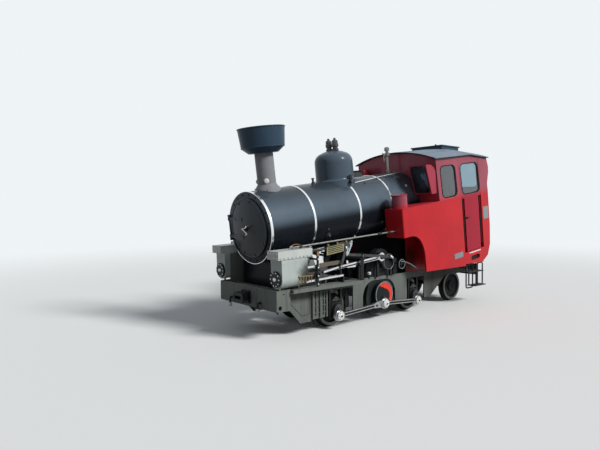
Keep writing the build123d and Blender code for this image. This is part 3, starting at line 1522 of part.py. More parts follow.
# Motion bracket plates at the rear of the slide bars and the yoke beside the cylinders
bracket_outer_y = 860
bracket_top_n = 352
bracket_bottom_n = -300
with BuildPart() as motion_brackets:
    with BuildSketch(cross_plane(motion_side, bar_rear_s - 26)):
        with Locations(((frame_outer_y + seat_gap + bracket_outer_y) / 2, (bracket_top_n + bracket_bottom_n) / 2)):
            Rectangle(bracket_outer_y - frame_outer_y - seat_gap, bracket_top_n - bracket_bottom_n)
        with Locations((motion_y, 0)):
            Rectangle(60, 2 * bar_gap_n, mode=Mode.SUBTRACT)
    extrude(amount=26 - seat_gap)
    cut_below(frame_top_z + board_thick)
    with BuildSketch(at_y(905)):
        with Locations((2100, 1100)):
            Rectangle(34, 2 * (1100 - frame_top_z - board_thick))
    extrude(amount=24)
    with BuildSketch(Plane.YZ.offset(2088)):
        with Locations(((frame_outer_y + 900) / 2, 1300)):
            Rectangle(900 - frame_outer_y, 30)
    extrude(amount=24)
    mirror(about=Plane.XZ)
finish(motion_brackets, "motion_brackets")


# Valve gear: spindle guide, combination lever, expansion link and eccentric rod
guide_y = 855
guide_line = [(1330, 1462), (1330, 1550), (1867, 1500), (1867, 1409)]
lever_foot = (1558, 1130)
lever_head = (1431, 1455)
link_foot = (1394, 1334)
link_head = (1279, 1555)
eccentric_outer_y = 883.5
with BuildPart() as valve_gear:
    for side, quarter in sides:
        with BuildSketch(at_y(side * (guide_y + 45))):
            with BuildLine():
                Polyline(*guide_line, close=True)
            make_face()
        extrude(amount=side * 90)
        with BuildSketch(Plane.YZ.offset(1860)):
            with Locations((side * guide_y, 1456)):
                Circle(18)
        extrude(amount=2298 - 1860)
        with BuildSketch(at_y(side * 908)):
            with Locations(lever_foot):
                Circle(24)
            with Locations(lever_head):
                Circle(32)
            make_hull()
        extrude(amount=side * 18)
        with BuildSketch(at_y(side * eccentric_outer_y)):
            with Locations(link_foot):
                Circle(30)
            with Locations(link_head):
                Circle(34)
            make_hull()
        extrude(amount=side * 20)
        return_s, return_n = return_pin(quarter)
        rod_end = motion_side.from_local_coords(Vector(return_s, return_n, 0))
        with BuildSketch(at_y(side * eccentric_outer_y)):
            with Locations(link_foot):
                Circle(22)
            with Locations((rod_end.X, rod_end.Z)):
                Circle(26)
            make_hull()
            with Locations((rod_end.X, rod_end.Z)):
                Circle(40)
        extrude(amount=side * (eccentric_outer_y - return_outer_y - seat_gap))
        # Union link from the crosshead pin to the lever's foot
        union_end = motion_side.from_local_coords(Vector(crosshead_place(quarter), 0, 0))
        with BuildSketch(at_y(side * 885)):
            with Locations(lever_foot):
                Circle(20)
            with Locations((union_end.X, union_end.Z)):
                Circle(26)
            make_hull()
        extrude(amount=side * (885 - motion_y - crosshead_half - seat_gap))
        with BuildSketch(at_y(side * 908)):
            with Locations(lever_foot):
                Circle(16)
        extrude(amount=side * 30)
finish(valve_gear, "valve_gear")

# Long control rods from the steam chests back to the tank fronts
control_y = 915
control_front_s = 2400
with BuildPart() as control_rods:
    control_start = motion_side.from_local_coords(Vector(control_front_s, chest_top_n + 32, -control_y))
    control_end = tilted_point(tank_front_u + 1.2, control_y, -470)
    control_line = control_end - control_start
    with BuildSketch(Plane(origin=control_start, x_dir=(0, 1, 0), z_dir=control_line)):
        Circle(15)
    extrude(amount=control_line.length)
    with BuildSketch(top_plane(motion_side, chest_top_n + seat_gap)):
        with Locations((control_front_s, control_y)):
            Circle(24)
    extrude(amount=46)
    mirror(about=Plane.XZ)
finish(control_rods, "control_rods")

# Cab fittings: seats and the controls on the backhead
seat_u = -1640
seat_y = 820
with BuildPart() as cab_fittings:
    for y in (seat_y, -seat_y):
        with BuildSketch(top_plane(tilted_side, floor_w + seat_gap)):
            with Locations((seat_u, y)):
                Circle(40)
        extrude(amount=430)
        with BuildSketch(top_plane(tilted_side, floor_w + 430)):
            with Locations((seat_u, y)):
                RectangleRounded(320, 340, 60)
        extrude(amount=70)
    with BuildSketch(cross_plane(tilted_side, firebox_rear_u - seat_gap)):
        with Locations((0, 250)):
            RectangleRounded(700, 260, 40)
    extrude(amount=-60)
    with BuildSketch(cross_plane(tilted_side, firebox_rear_u - 60)):
        with Locations((-220, 250), (0, 300), (220, 250)):
            Circle(70)
    extrude(amount=-40)
finish(cab_fittings, "cab_fittings")

# Ring handwheel beside the gear case
with BuildPart() as brake_wheel:
    wheel_x, wheel_z = -150, 1040
    with BuildSketch(at_y(865)):
        with Locations((wheel_x, wheel_z)):
            Circle(100)
            Circle(82, mode=Mode.SUBTRACT)
            Rectangle(170, 14)
            Rectangle(14, 170)
            Circle(26)
    extrude(amount=16)
    with BuildSketch(at_y(850)):
        with Locations((wheel_x, wheel_z)):
            Circle(14)
    extrude(amount=850 - frame_outer_y - seat_gap)
    with BuildSketch(at_y(frame_outer_y)):
        with Locations((wheel_x, (frame_top_z + wheel_z + 50) / 2)):
            Rectangle(110, wheel_z + 50 - frame_top_z)
    extrude(amount=frame_thick)
finish(brake_wheel, "brake_wheel")

print(len(pieces), "pieces")
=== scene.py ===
from math import cos, pi, radians, sin, tan

import bmesh
import bpy
from bpy.props import FloatProperty, FloatVectorProperty, PointerProperty
from mathutils import Matrix, Vector


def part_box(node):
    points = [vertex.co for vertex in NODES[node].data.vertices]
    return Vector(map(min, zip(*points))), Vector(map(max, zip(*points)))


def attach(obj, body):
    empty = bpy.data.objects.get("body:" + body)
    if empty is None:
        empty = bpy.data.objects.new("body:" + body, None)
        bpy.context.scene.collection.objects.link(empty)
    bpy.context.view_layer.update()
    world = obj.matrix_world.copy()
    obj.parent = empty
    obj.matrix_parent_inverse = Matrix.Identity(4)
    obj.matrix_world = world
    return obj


bl_info = {
    "name": "Rack locomotive dressing",
    "version": (1, 0, 0),
    "blender": (4, 5, 0),
    "location": "3D View > Sidebar > Locomotive",
    "description": "Paints and trims the steam rack locomotive and builds its stage",
    "category": "Object",
}

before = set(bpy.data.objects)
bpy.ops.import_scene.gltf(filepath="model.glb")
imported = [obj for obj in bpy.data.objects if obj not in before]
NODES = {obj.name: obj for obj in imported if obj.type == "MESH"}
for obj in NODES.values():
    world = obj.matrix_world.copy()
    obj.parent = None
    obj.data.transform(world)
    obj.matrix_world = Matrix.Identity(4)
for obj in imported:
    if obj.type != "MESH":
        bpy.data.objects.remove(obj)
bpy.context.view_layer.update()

# Places and directions on the locomotive, all in metres

SIDES = ((1, "left"), (-1, "right"))
AHEAD, LEFT, UP = Vector((1, 0, 0)), Vector((0, 1, 0)), Vector((0, 0, 1))

TILT = radians(7.0)
FORWARD = Vector((cos(TILT), 0, -sin(TILT)))
UPWARD = Vector((sin(TILT), 0, cos(TILT)))
BOILER_AXIS_Z = 2.1837
BOILER_R = 0.624
CHIMNEY_U = 2.417
BACKHEAD_U = -1.441

MOTION_SLOPE = radians(2.0)
ALONG = Vector((cos(MOTION_SLOPE), 0, -sin(MOTION_SLOPE)))
ACROSS = Vector((sin(MOTION_SLOPE), 0, cos(MOTION_SLOPE)))
CRANK_X, CRANK_Z = 0.230, 1.130
CYLINDER_Y = 0.836
CRANKS = {1: (0.1766, 0.0939), -1: (-0.0939, 0.1766)}
RETURN_PINS = ((1, -0.0423, 0.0795), (-1, -0.0795, -0.0423))

BODY_Y = 1.100
WAIST_W = -0.045
WALL_LEAN = radians(2.3)
ROOF_EDGE_W, ROOF_HALF, ROOF_RISE = 0.835, 1.0646, 0.185

FRAME_Y = 0.700
AXLE_Z = 0.3545
FRONT_X, REAR_X, TRAILING_X = 1.500, -0.730, -2.307
JACKSHAFT_X, JACKSHAFT_Z = 0.28, 0.418
CRANK_PINS = ((1, "left", 0.038, -0.103228), (-1, "right", 0.103228, 0.038))

SQUARE = (AHEAD, LEFT, UP)
TILTED = (FORWARD, LEFT, UPWARD)


def tilted(u, y, w):
    """Point in the boiler's frame: u forward, w up from the boiler's axis."""
    return Vector((0, y, BOILER_AXIS_Z)) + FORWARD * u + UPWARD * w


def motion(s, y, n):
    """Point in the motion's frame: s forward along the piston line, n up from it."""
    return Vector((CRANK_X, y, CRANK_Z)) + ALONG * s + ACROSS * n


def circle(centre, radius, count, a, b, start=0.0):
    """Points round a centre, from direction a towards b."""
    turns = [2 * pi * (i + start) / count for i in range(count)]
    return [Vector(centre) + a * (radius * cos(t)) + b * (radius * sin(t)) for t in turns]


def row(start, step, count):
    """Evenly spaced points, or numbers."""
    start = Vector(start) if isinstance(start, tuple) else start
    return [start + step * i for i in range(count)]


# Settings

def colour(name, words, value):
    return FloatVectorProperty(name=name, description=words, subtype="COLOR", size=3, min=0, max=1, default=value)


def length(name, words, value):
    return FloatProperty(name=name, description=words, default=value, min=0, unit="LENGTH", precision=4)


class LocoPaints(bpy.types.PropertyGroup):
    body_red: colour("Body red", "Tanks and lower cab sides", (0.56, 0.018, 0.026))
    # The red of the walls above the waist is a painted reflection of the sky.
    upper_red: colour("Upper red", "Painted reflection of the sky on the walls above the waist", (0.36, 0.072, 0.108))
    boiler: colour("Boiler", "Upper side of the boiler", (0.094, 0.130, 0.170))
    # The underside colour of the boiler is painted shade.
    boiler_low: colour("Boiler underside", "Painted shade on the boiler's underside", (0.008, 0.011, 0.016))
    cap: colour("Chimney cap", "Blue black of the chimney cap", (0.036, 0.068, 0.108))
    dome: colour("Dome", "Gloss blue grey of the dome", (0.082, 0.116, 0.155))
    smokebox_front: colour("Smokebox front", "Heat dulled front and door of the smokebox", (0.030, 0.036, 0.044))
    # The door red is the body red darkened as painted shade.
    door_red: colour("Door red", "Lower panels of the cab doors", (0.38, 0.008, 0.030))
    hood_red: colour("Hood red", "Hoods round the front windows", (0.40, 0.042, 0.074))
    machine_black: colour("Machine black", "Gear cases and brackets between the frames", (0.018, 0.025, 0.025))
    pipe_grey: colour("Chimney pipe", "Heat resistant grey of the chimney pipe", (0.24, 0.245, 0.27))
    # The trailing frame's darker grey is painted shade under the cab.
    trailing_grey: colour("Trailing frame grey", "Frame under the cab, darkened as painted shade", (0.055, 0.064, 0.062))
    frame_grey: colour("Frame grey", "Frames, beams and running boards", (0.188, 0.208, 0.196))
    casing_grey: colour("Casing grey", "Cylinder casings", (0.47, 0.53, 0.52))
    chest_grey: colour("Chest grey", "Steam chest covers", (0.60, 0.64, 0.62))
    roof_grey: colour("Roof grey", "Cab roof", (0.165, 0.220, 0.290))
    black: colour("Black", "Small ironwork and running gear", (0.012, 0.014, 0.016))
    crescent: colour("Crescent red", "Balance weight on the jackshaft's disc", (0.80, 0.050, 0.032))
    steel: colour("Bright steel", "Coupling rods, bolts and handles", (0.52, 0.54, 0.55))
    brass: colour("Brass", "Oil cups, cocks and backhead fittings", (0.34, 0.26, 0.13))
    # This colour is the grime in the paint and the painted shade of the dark spots.
    grime: colour("Grime", "Soot and oily dust, and the painted shade of the dark spots", (0.020, 0.017, 0.014))


class LocoTrim(bpy.types.PropertyGroup):
    gasket: length("Window gasket", "Width of the black rubber round the panes", 0.022)
    bolt: length("Bolt", "Radius of the bolts on wheels, clamps and cylinder fronts", 0.012)
    small_bolt: length("Small bolt", "Radius of the bolts on straps and steam chests", 0.011)
    tank_rivet: length("Tank rivet", "Radius of the rivets along the tank's edges", 0.006)
    frame_rivet: length("Frame rivet", "Radius of the rivets of frame plates and smokebox", 0.009)


class LocoStage(bpy.types.PropertyGroup):
    floor: colour("Floor", "Plain pale floor", (0.86, 0.88, 0.89))
    floor_bounce: colour("Floor bounce", "What the floor gives back to the undersides", (0.20, 0.20, 0.19))
    backdrop: colour("Backdrop", "Plain pale surroundings", (0.86, 0.90, 0.92))
    sky_light: FloatProperty(name="Sky light", description="Strength of the even light", default=0.24, min=0)
    key_light: FloatProperty(name="Key light", description="Strength of the soft sun", default=3.1, min=0)
    floor_size: length("Floor size", "Half width of the floor", 60.0)


def paints():
    return bpy.context.scene.loco_paints


def trim():
    return bpy.context.scene.loco_trim


# Shader trees and the groups shared by the finishes

COLOUR, NUMBER = "NodeSocketColor", "NodeSocketFloat"
SOCKET_KINDS = {tuple: COLOUR, float: NUMBER, Vector: "NodeSocketVector"}
NEUTRAL, SOOTY = (0.5, 0.5, 0.5, 1), (0.02, 0.02, 0.02, 1)
MIX_A, MIX_B, MIX_RESULT = 6, 7, 2
GROUPS = {}


class Net:
    """Short hand for a shader tree: each call adds a node, feeds it and gives one output."""

    def __init__(self, tree):
        self.tree = tree

    def feed(self, socket, value):
        if isinstance(value, bpy.types.NodeSocket):
            self.tree.links.new(value, socket)
        elif socket.type == "RGBA" and len(value) == 3:
            socket.default_value = (*value, 1.0)
        else:
            socket.default_value = value

    def add(self, kind, values, output=0, **options):
        node = self.tree.nodes.new("ShaderNode" + kind)
        for option, choice in options.items():
            setattr(node, option, choice)
        for key, value in values.items():
            self.feed(node.inputs[key], value)
        return node.outputs[output]

    def group(self, maker, values):
        """Places a shared group, made on its first use, and gives all its outputs."""
        if maker not in GROUPS:
            GROUPS[maker] = maker()
        node = self.tree.nodes.new("ShaderNodeGroup")
        node.node_tree = GROUPS[maker]
        for label, value in values.items():
            self.feed(node.inputs[label], value)
        return node.outputs

    def maths(self, operation, values, clamp=False):
        return self.add("Math", dict(enumerate(values)), operation=operation, use_clamp=clamp)

    def times(self, a, b):
        return self.maths("MULTIPLY", (a, b))

    def plus(self, a, b, clamp=False):
        return self.maths("ADD", (a, b), clamp)

    def minus(self, a, b, clamp=False):
        return self.maths("SUBTRACT", (a, b), clamp)

    def place(self):
        return self.add("TexCoord", {}, "Object")

    def noise(self, vector, scale, detail):
        return self.add("TexNoise", {"Vector": vector, "Scale": scale, "Detail": detail, "Roughness": 0.55}, "Fac")

    def spread(self, value, low, high, to_low=0.0, to_high=1.0):
        """Smooth step from to_low at low to to_high at high."""
        return self.add("MapRange", {"Value": value, "From Min": low, "From Max": high, "To Min": to_low,
                                     "To Max": to_high}, "Result", interpolation_type="SMOOTHSTEP")

    def stretched(self, vector, scale):
        return self.add("Mapping", {"Vector": vector, "Scale": scale}, "Vector")

    def axis(self, vector, letter):
        return self.add("SeparateXYZ", {0: vector}, letter)

    def mixed(self, factor, a, b):
        return self.add("Mix", {0: factor, MIX_A: a, MIX_B: b}, MIX_RESULT, data_type="RGBA")


def start_group(name, inputs, outputs):
    group = bpy.data.node_groups.new(name, "ShaderNodeTree")
    for label, default in inputs.items():
        made = group.interface.new_socket(name=label, in_out="INPUT", socket_type=SOCKET_KINDS[type(default)])
        made.default_value = default
    for label, kind in outputs.items():
        group.interface.new_socket(name=label, in_out="OUTPUT", socket_type=kind)
    return Net(group), group.nodes.new("NodeGroupInput").outputs, group.nodes.new("NodeGroupOutput").inputs


def paint_wear_group():
    """Gloss or satin paint: cloudy tone, rain streaks, dust specks and dirt that thickens downwards, a second paint
    above a line, and painted shade that darkens the top.
    """
    net, given, out = start_group("Paint wear and shade", {
        "Paint": NEUTRAL, "Grime": SOOTY, "Dirt": 0.3, "Low dirt": 0.5, "Fade": 0.1, "Gloss roughness": 0.25,
        "Peel": 0.3, "Second paint": NEUTRAL, "Line from": 8.0, "Line to": 9.0, "Coat": 0.1, "Second coat": 0.1,
        "Top shade": 0.0,
    }, {"Colour": COLOUR, "Roughness": NUMBER, "Height": NUMBER, "Coat": NUMBER})
    place = net.place()
    cloud = net.noise(place, 1.3, 5)
    streaks = net.spread(net.noise(net.stretched(place, (14, 14, 0.9)), 1.0, 6), 0.45, 0.80)
    specks = net.spread(net.noise(place, 90.0, 3), 0.66, 0.80)
    low = net.spread(net.axis(place, "Z"), 1.5, 0.15)
    dirt = net.plus(net.times(streaks, given["Dirt"]), net.times(low, given["Low dirt"]))
    dirt = net.times(dirt, net.spread(cloud, 0.30, 0.70, 0.35, 1.0))
    dirt = net.plus(dirt, net.times(specks, net.times(given["Dirt"], 0.6)), clamp=True)
    rise = net.add("VectorMath", {0: place, 1: UPWARD}, "Value", operation="DOT_PRODUCT")
    height = net.minus(rise, BOILER_AXIS_Z * cos(TILT))
    line = net.spread(height, given["Line from"], given["Line to"])
    toned = net.mixed(line, given["Paint"], given["Second paint"])
    clouded = net.plus(net.times(given["Fade"], net.spread(cloud, 0.3, 0.7, -1.0, 1.0)), 1.0)
    # Top shade darkens the paint towards the top: painted shade.
    shade = net.times(given["Top shade"], net.spread(height, 0.22, 0.58))
    bright = net.add("HueSaturation", {"Color": toned, "Value": net.times(clouded, net.minus(1.0, shade))}, "Color")
    net.feed(out["Colour"], net.mixed(dirt, bright, given["Grime"]))
    net.feed(out["Roughness"], net.plus(given["Gloss roughness"], net.times(dirt, 0.45), clamp=True))
    coat = net.plus(net.times(given["Coat"], net.minus(1.0, line)), net.times(given["Second coat"], line))
    net.feed(out["Coat"], net.times(coat, net.minus(1.0, dirt, clamp=True)))
    peel = net.times(net.noise(place, 34.0, 2), given["Peel"])
    net.feed(out["Height"], net.plus(peel, net.times(dirt, 0.5)))
    return net.tree


def metal_wear_group():
    """Machined metal: long tool marks, oil film and dark stains."""
    net, given, out = start_group("Metal wear", {
        "Metal": NEUTRAL, "Stain": (0.05, 0.04, 0.03, 1), "Stains": 0.4, "Base roughness": 0.3, "Marks": 0.3,
    }, {"Colour": COLOUR, "Roughness": NUMBER, "Height": NUMBER})
    place = net.place()
    lines = net.noise(net.stretched(place, (3, 160, 160)), 1.0, 3)
    blots = net.times(net.spread(net.noise(place, 7.0, 6), 0.42, 0.68), given["Stains"])
    film = net.times(net.spread(net.noise(place, 23.0, 4), 0.5, 0.75), net.times(given["Stains"], 0.5))
    stain = net.plus(blots, film, clamp=True)
    net.feed(out["Colour"], net.mixed(stain, given["Metal"], given["Stain"]))
    rough = net.plus(given["Base roughness"], net.times(net.spread(lines, 0.3, 0.7), 0.12))
    net.feed(out["Roughness"], net.plus(rough, net.times(stain, 0.3), clamp=True))
    net.feed(out["Height"], net.times(lines, given["Marks"]))
    return net.tree


def soot_spot_group():
    """Dark spot that fades out round one place, the same on both sides; on the tanks and the frame it is painted
    shade.
    """
    net, given, out = start_group("Dark spot", {
        "Colour": NEUTRAL, "Soot": SOOTY, "Centre": Vector((0, 0, 0)), "Reach": 0.2, "Most": 0.94,
    }, {"Colour": COLOUR})
    place = net.place()
    x, y, z = (net.axis(place, letter) for letter in "XYZ")
    both_sides = net.add("CombineXYZ", {"X": x, "Y": net.maths("ABSOLUTE", (y,)), "Z": z}, "Vector")
    away = net.add("VectorMath", {0: both_sides, 1: given["Centre"]}, "Value", operation="DISTANCE")
    ragged = net.plus(away, net.times(net.noise(place, 11.0, 5), 0.16))
    share = net.maths("DIVIDE", (ragged, given["Reach"]))
    covered = net.times(net.spread(share, 0.55, 1.35, 1.0, 0.0), given["Most"])
    net.feed(out["Colour"], net.mixed(covered, given["Colour"], given["Soot"]))
    return net.tree


# Finishes

OIL_STAIN = (0.05, 0.038, 0.026)
BUMP_DEPTH = 0.004
WAIST_LINE = (-0.10, 0.10)
NO_LINE = (8.0, 9.0)
FINISHES = {}


def start_material(name):
    made = bpy.data.materials.new(name)
    made.use_nodes = True
    return made, Net(made.node_tree), made.node_tree.nodes["Principled BSDF"].inputs


def worn(net, shader, maker, values, bump):
    """Feeds the shader's colour, roughness and relief from a wear group."""
    wear = net.group(maker, values)
    net.feed(shader["Base Color"], wear["Colour"])
    net.feed(shader["Roughness"], wear["Roughness"])
    relief = {"Strength": bump, "Distance": BUMP_DEPTH, "Height": wear["Height"]}
    net.feed(shader["Normal"], net.add("Bump", relief, "Normal"))
    return wear


def painted(name, paint, dirt, low_dirt, roughness, coat, peel=0.2, bump=0.12, fade=0.10, second=None,
            line=NO_LINE, specular=0.15, second_coat=None, top_shade=0.0):
    """Paint, with a second one above a line that follows the boiler's tilt, also used for painted shade and
    reflection.
    """
    made, net, shader = start_material(name)
    wear = worn(net, shader, paint_wear_group, {
        "Paint": paint, "Grime": paints().grime, "Dirt": dirt, "Low dirt": low_dirt, "Fade": fade,
        "Gloss roughness": roughness, "Peel": peel, "Second paint": second or paint, "Line from": line[0],
        "Line to": line[1], "Coat": coat, "Second coat": coat if second_coat is None else second_coat,
        "Top shade": top_shade}, bump)
    shader["Specular IOR Level"].default_value = specular
    if coat or second_coat:
        net.feed(shader["Coat Weight"], wear["Coat"])
        shader["Coat Roughness"].default_value = 0.06
    return made


def sooted(made, centre, reach, most=0.94):
    """Adds one dark spot over a finish."""
    shader = made.node_tree.nodes["Principled BSDF"].inputs
    net, under = Net(made.node_tree), shader["Base Color"].links[0].from_socket
    spot = net.group(soot_spot_group, {"Colour": under, "Soot": paints().grime, "Centre": centre, "Reach": reach,
                                       "Most": most})
    net.feed(shader["Base Color"], spot["Colour"])
    return made


def bare_metal(name, metal, stains, roughness, marks=0.3):
    made, net, shader = start_material(name)
    worn(net, shader, metal_wear_group, {"Metal": metal, "Stain": OIL_STAIN, "Stains": stains,
                                         "Base roughness": roughness, "Marks": marks}, 0.10)
    shader["Metallic"].default_value = 1.0
    return made


def window_glass(name, tint):
    made, net, shader = start_material(name)
    for label, value in (("Base Color", (*tint, 1)), ("Transmission Weight", 1.0), ("IOR", 1.45),
                         ("Coat Weight", 1.0), ("Coat Roughness", 0.02)):
        shader[label].default_value = value
    net.feed(shader["Roughness"], net.spread(net.noise(net.place(), 5.0, 4), 0.35, 0.75, 0.015, 0.10))
    return made


def build_finishes():
    """Paints give dirt, low dirt, roughness, coat and peel in this order, metals give stains and roughness."""
    p = paints()
    # Above the waist the red walls turn to a paler red, a painted reflection of the sky.
    waist = {"second": p.upper_red, "line": WAIST_LINE, "second_coat": 0.25}
    FINISHES.update({
        # The dark spot on the body red is painted shade on the tanks' inner walls beside the firebox.
        "red": sooted(painted("Body red paint", p.body_red, 0.10, 0.10, 0.30, 0.05, 0.25, **waist),
                      (-0.62, 0.72, 1.10), 0.36, 0.80),
        # The doors' darker red is painted shade on the door panels.
        "door_red": painted("Door red paint", p.door_red, 0.14, 0.10, 0.30, 0.05, 0.25, **waist),
        # The boiler's dark colour below the line is painted shade of its underside, and its top shade is painted
        # shade too.
        "boiler": painted("Boiler gloss paint", p.boiler_low, 0.12, 0.10, 0.26, 0.0, 0.10, second=p.boiler,
                          line=(-0.08, 0.14), specular=0.08, second_coat=0.20, top_shade=0.62),
        "dome": painted("Dome paint", p.dome, 0.12, 0.0, 0.26, 0.12, 0.10, specular=0.08),
        "door": painted("Smokebox front paint", p.smokebox_front, 0.25, 0.0, 0.36, 0.10, 0.15),
        "cap": painted("Chimney cap paint", p.cap, 0.22, 0.0, 0.36, 0.05, 0.15, specular=0.10),
        "pipe_grey": painted("Chimney pipe paint", p.pipe_grey, 0.30, 0.0, 0.45, 0.0),
        # The dark spot on the frame is painted shade under the cab's skirt.
        "frame": sooted(painted("Frame grey paint", p.frame_grey, 0.40, 0.45, 0.50, 0.0, 0.4, 0.2),
                        (-1.62, 0.70, 0.50), 0.62, 0.66),
        # The trailing frame's darker grey is painted shade under the cab.
        "frame_dark": painted("Trailing frame paint", p.trailing_grey, 0.4, 0.3, 0.5, 0.0, 0.4, 0.2, specular=0.08),
        # On the cab's end walls the red fades upwards into that paler red, a painted reflection of the sky.
        "end_red": painted("Cab end wall paint", p.body_red, 0.14, 0.10, 0.32, 0.05, 0.25, second=p.upper_red,
                           line=(-0.9, 0.5), second_coat=0.20),
        "hood_red": painted("Window hood red paint", p.hood_red, 0.16, 0.0, 0.32, 0.15, 0.25),
        "machine_black": painted("Machine black paint", p.machine_black, 0.35, 0.3, 0.42, 0.1, 0.4, 0.2, 0.3),
        # The dark spot on the casing darkens a patch low on its outer side, round the drain cocks.
        "casing": sooted(painted("Casing grey paint", p.casing_grey, 0.16, 0.08, 0.40, 0.1, second=p.chest_grey,
                                 line=(-0.55, -0.45)), (2.36, 0.99, 1.08), 0.30),
        "roof": painted("Roof grey paint", p.roof_grey, 0.22, 0.0, 0.42, 0.0),
        "black": painted("Black ironwork", p.black, 0.3, 0.35, 0.42, 0.1, 0.4, 0.2, 0.25),
        # This near black serves the firebox sides and the beam end discs, partly as painted shade.
        "soot": painted("Soot black and shade", (0.006, 0.006, 0.007), 0.2, 0.2, 0.6, 0.0, 0.5, 0.3, specular=0.05),
        "crescent": painted("Balance weight red", p.crescent, 0.10, 0.0, 0.35, 0.1),
        "wheel": painted("Wheel disc grey", (0.016, 0.019, 0.021), 0.4, 0.3, 0.5, 0.0, 0.5, 0.25, specular=0.1),
        "bar_tan": painted("Dusty slide bar", (0.15, 0.13, 0.10), 0.6, 0.0, 0.6, 0.0, 0.5, 0.3),
        "link_pale": painted("Pale link enamel", (0.50, 0.62, 0.68), 0.3, 0.0, 0.3, 0.2),
        "white": painted("White enamel", (0.80, 0.82, 0.81), 0.16, 0.05, 0.3, 0.3),
        "rubber": painted("Window rubber", (0.010, 0.011, 0.012), 0.1, 0.1, 0.55, 0.0, 0.3),
        "plate_grey": painted("Blank plate grey", (0.26, 0.30, 0.32), 0.2, 0.05, 0.4, 0.1),
        "floor_boards": painted("Cab floor boards", (0.16, 0.10, 0.055), 0.5, 0.0, 0.6, 0.0, 0.8, 0.4),
        "steel": bare_metal("Bright rod steel", p.steel, 0.30, 0.24),
        "bright_rod": bare_metal("Polished rod steel", (0.86, 0.87, 0.88), 0.14, 0.20),
        "grey_steel": bare_metal("Weathered rod steel", (0.26, 0.26, 0.255), 0.45, 0.34),
        "dull_steel": bare_metal("Oily dark steel", (0.085, 0.088, 0.095), 0.65, 0.40),
        "tread": bare_metal("Rolled tread steel", (0.12, 0.12, 0.12), 0.45, 0.40),
        "band": bare_metal("Polished band", (0.90, 0.92, 0.94), 0.04, 0.14, 0.1),
        "olive_brass": bare_metal("Olive brass", (0.34, 0.31, 0.17), 0.35, 0.36),
        "brass": bare_metal("Brass and bronze", p.brass, 0.45, 0.30),
        "copper": bare_metal("Copper pipe", (0.42, 0.20, 0.11), 0.5, 0.32),
        # The blue tint of the window glass is a painted reflection of the sky.
        "glass": window_glass("Window glass", (0.44, 0.60, 0.66)),
        # The near black tint of the front window glass is painted shade.
        "dark_glass": window_glass("Front window glass", (0.045, 0.050, 0.075)),
    })


# Making pieces. Twin pieces are built on the left and repeated on the right.

def dress(finish, *names):
    """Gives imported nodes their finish."""
    for name in names:
        mesh = NODES[name].data
        mesh.materials.clear()
        mesh.materials.append(FINISHES[finish])


def add_piece(name, data, finish, slot, smooth_angle=None, body="chassis"):
    """Adds a curve or a finished mesh as a piece that rides on a body."""
    if isinstance(data, bmesh.types.BMesh):
        bmesh.ops.recalc_face_normals(data, faces=data.faces)
        mesh = bpy.data.meshes.new(name)
        data.to_mesh(mesh)
        data.free()
        data = mesh
    piece = bpy.data.objects.new(name, data)
    bpy.context.scene.collection.objects.link(piece)
    data.materials.append(FINISHES[finish])
    if smooth_angle is not None:
        for polygon in data.polygons:
            polygon.use_smooth = True
        data.set_sharp_from_angle(angle=radians(smooth_angle))
    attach(piece, body)


def mirror(bm):
    bmesh.ops.mirror(bm, geom=bm.verts[:] + bm.edges[:] + bm.faces[:], axis="Y")
    return bm


def turn(bm, profile, origin, axis, sides):
    """Turned surface: profile of (radius, height along the axis) pairs, round a point."""
    z = axis.normalized()
    x = (UP if abs(z.z) < 0.9 else AHEAD).cross(z).normalized()
    rings = []
    for radius, height in profile:
        centre = Vector(origin) + z * height
        ring = circle(centre, radius, sides, x, z.cross(x)) if radius else [centre]
        rings.append([bm.verts.new(point) for point in ring])
    for lower, upper in zip(rings, rings[1:]):
        for i in range(sides):
            j = (i + 1) % sides
            corners = [ring[k % len(ring)] for ring, k in ((lower, i), (lower, j), (upper, j), (upper, i))]
            corners = list(dict.fromkeys(corners))
            if len(corners) > 2:
                bm.faces.new(corners)


def solid(bm, origin, axis, sides, *profile):
    """Turned solid, closed at the foot and the head of its profile."""
    head = [] if profile[-1][0] == 0 else [(0, profile[-1][1])]
    turn(bm, [(0, profile[0][1]), *profile, *head], origin, axis, sides)


def bolts(bm, places, axis, radius):
    """Bolt heads with a chamfered top and their washers."""
    height = radius * 0.9
    washer = [(0, 0), (radius * 1.25, 0), (radius * 1.25, height * 0.2)]
    head = [(radius, height * 0.1), (radius, height * 0.85), (radius * 0.82, height), (0, height)]
    for place in places:
        turn(bm, washer, place, axis, 12)
        turn(bm, head, place, axis, 6)


def rivets(bm, places, axis, radius):
    head = [(radius, -0.001), (radius * 0.92, radius * 0.30), (radius * 0.55, radius * 0.62), (0, radius * 0.72)]
    for place in places:
        turn(bm, head, place, axis, 10)


def block(bm, centre, size, bevel, axes=SQUARE):
    """Box with its own axes and broken edges."""
    halves = (-0.5, 0.5)
    reach = [axis * extent for axis, extent in zip(axes, size)]
    corners = [bm.verts.new(Vector(centre) + reach[0] * i + reach[1] * j + reach[2] * k)
               for i in halves for j in halves for k in halves]
    quads = ((0, 1, 3, 2), (4, 6, 7, 5), (0, 4, 5, 1), (2, 3, 7, 6), (0, 2, 6, 4), (1, 5, 7, 3))
    faces = [bm.faces.new([corners[i] for i in quad]) for quad in quads]
    edges = list({edge for face in faces for edge in face.edges})
    bmesh.ops.bevel(bm, geom=edges, offset=bevel, segments=2, affect="EDGES", profile=0.7)


def bar(bm, start, end, depth, height, bevel, out, shorter=0.0):
    """Flat bar along the line between two points."""
    start, end = Vector(start), Vector(end)
    line = (end - start).normalized()
    block(bm, (start + end) / 2, ((end - start).length - shorter, depth, height), bevel, (line, out, line.cross(out)))


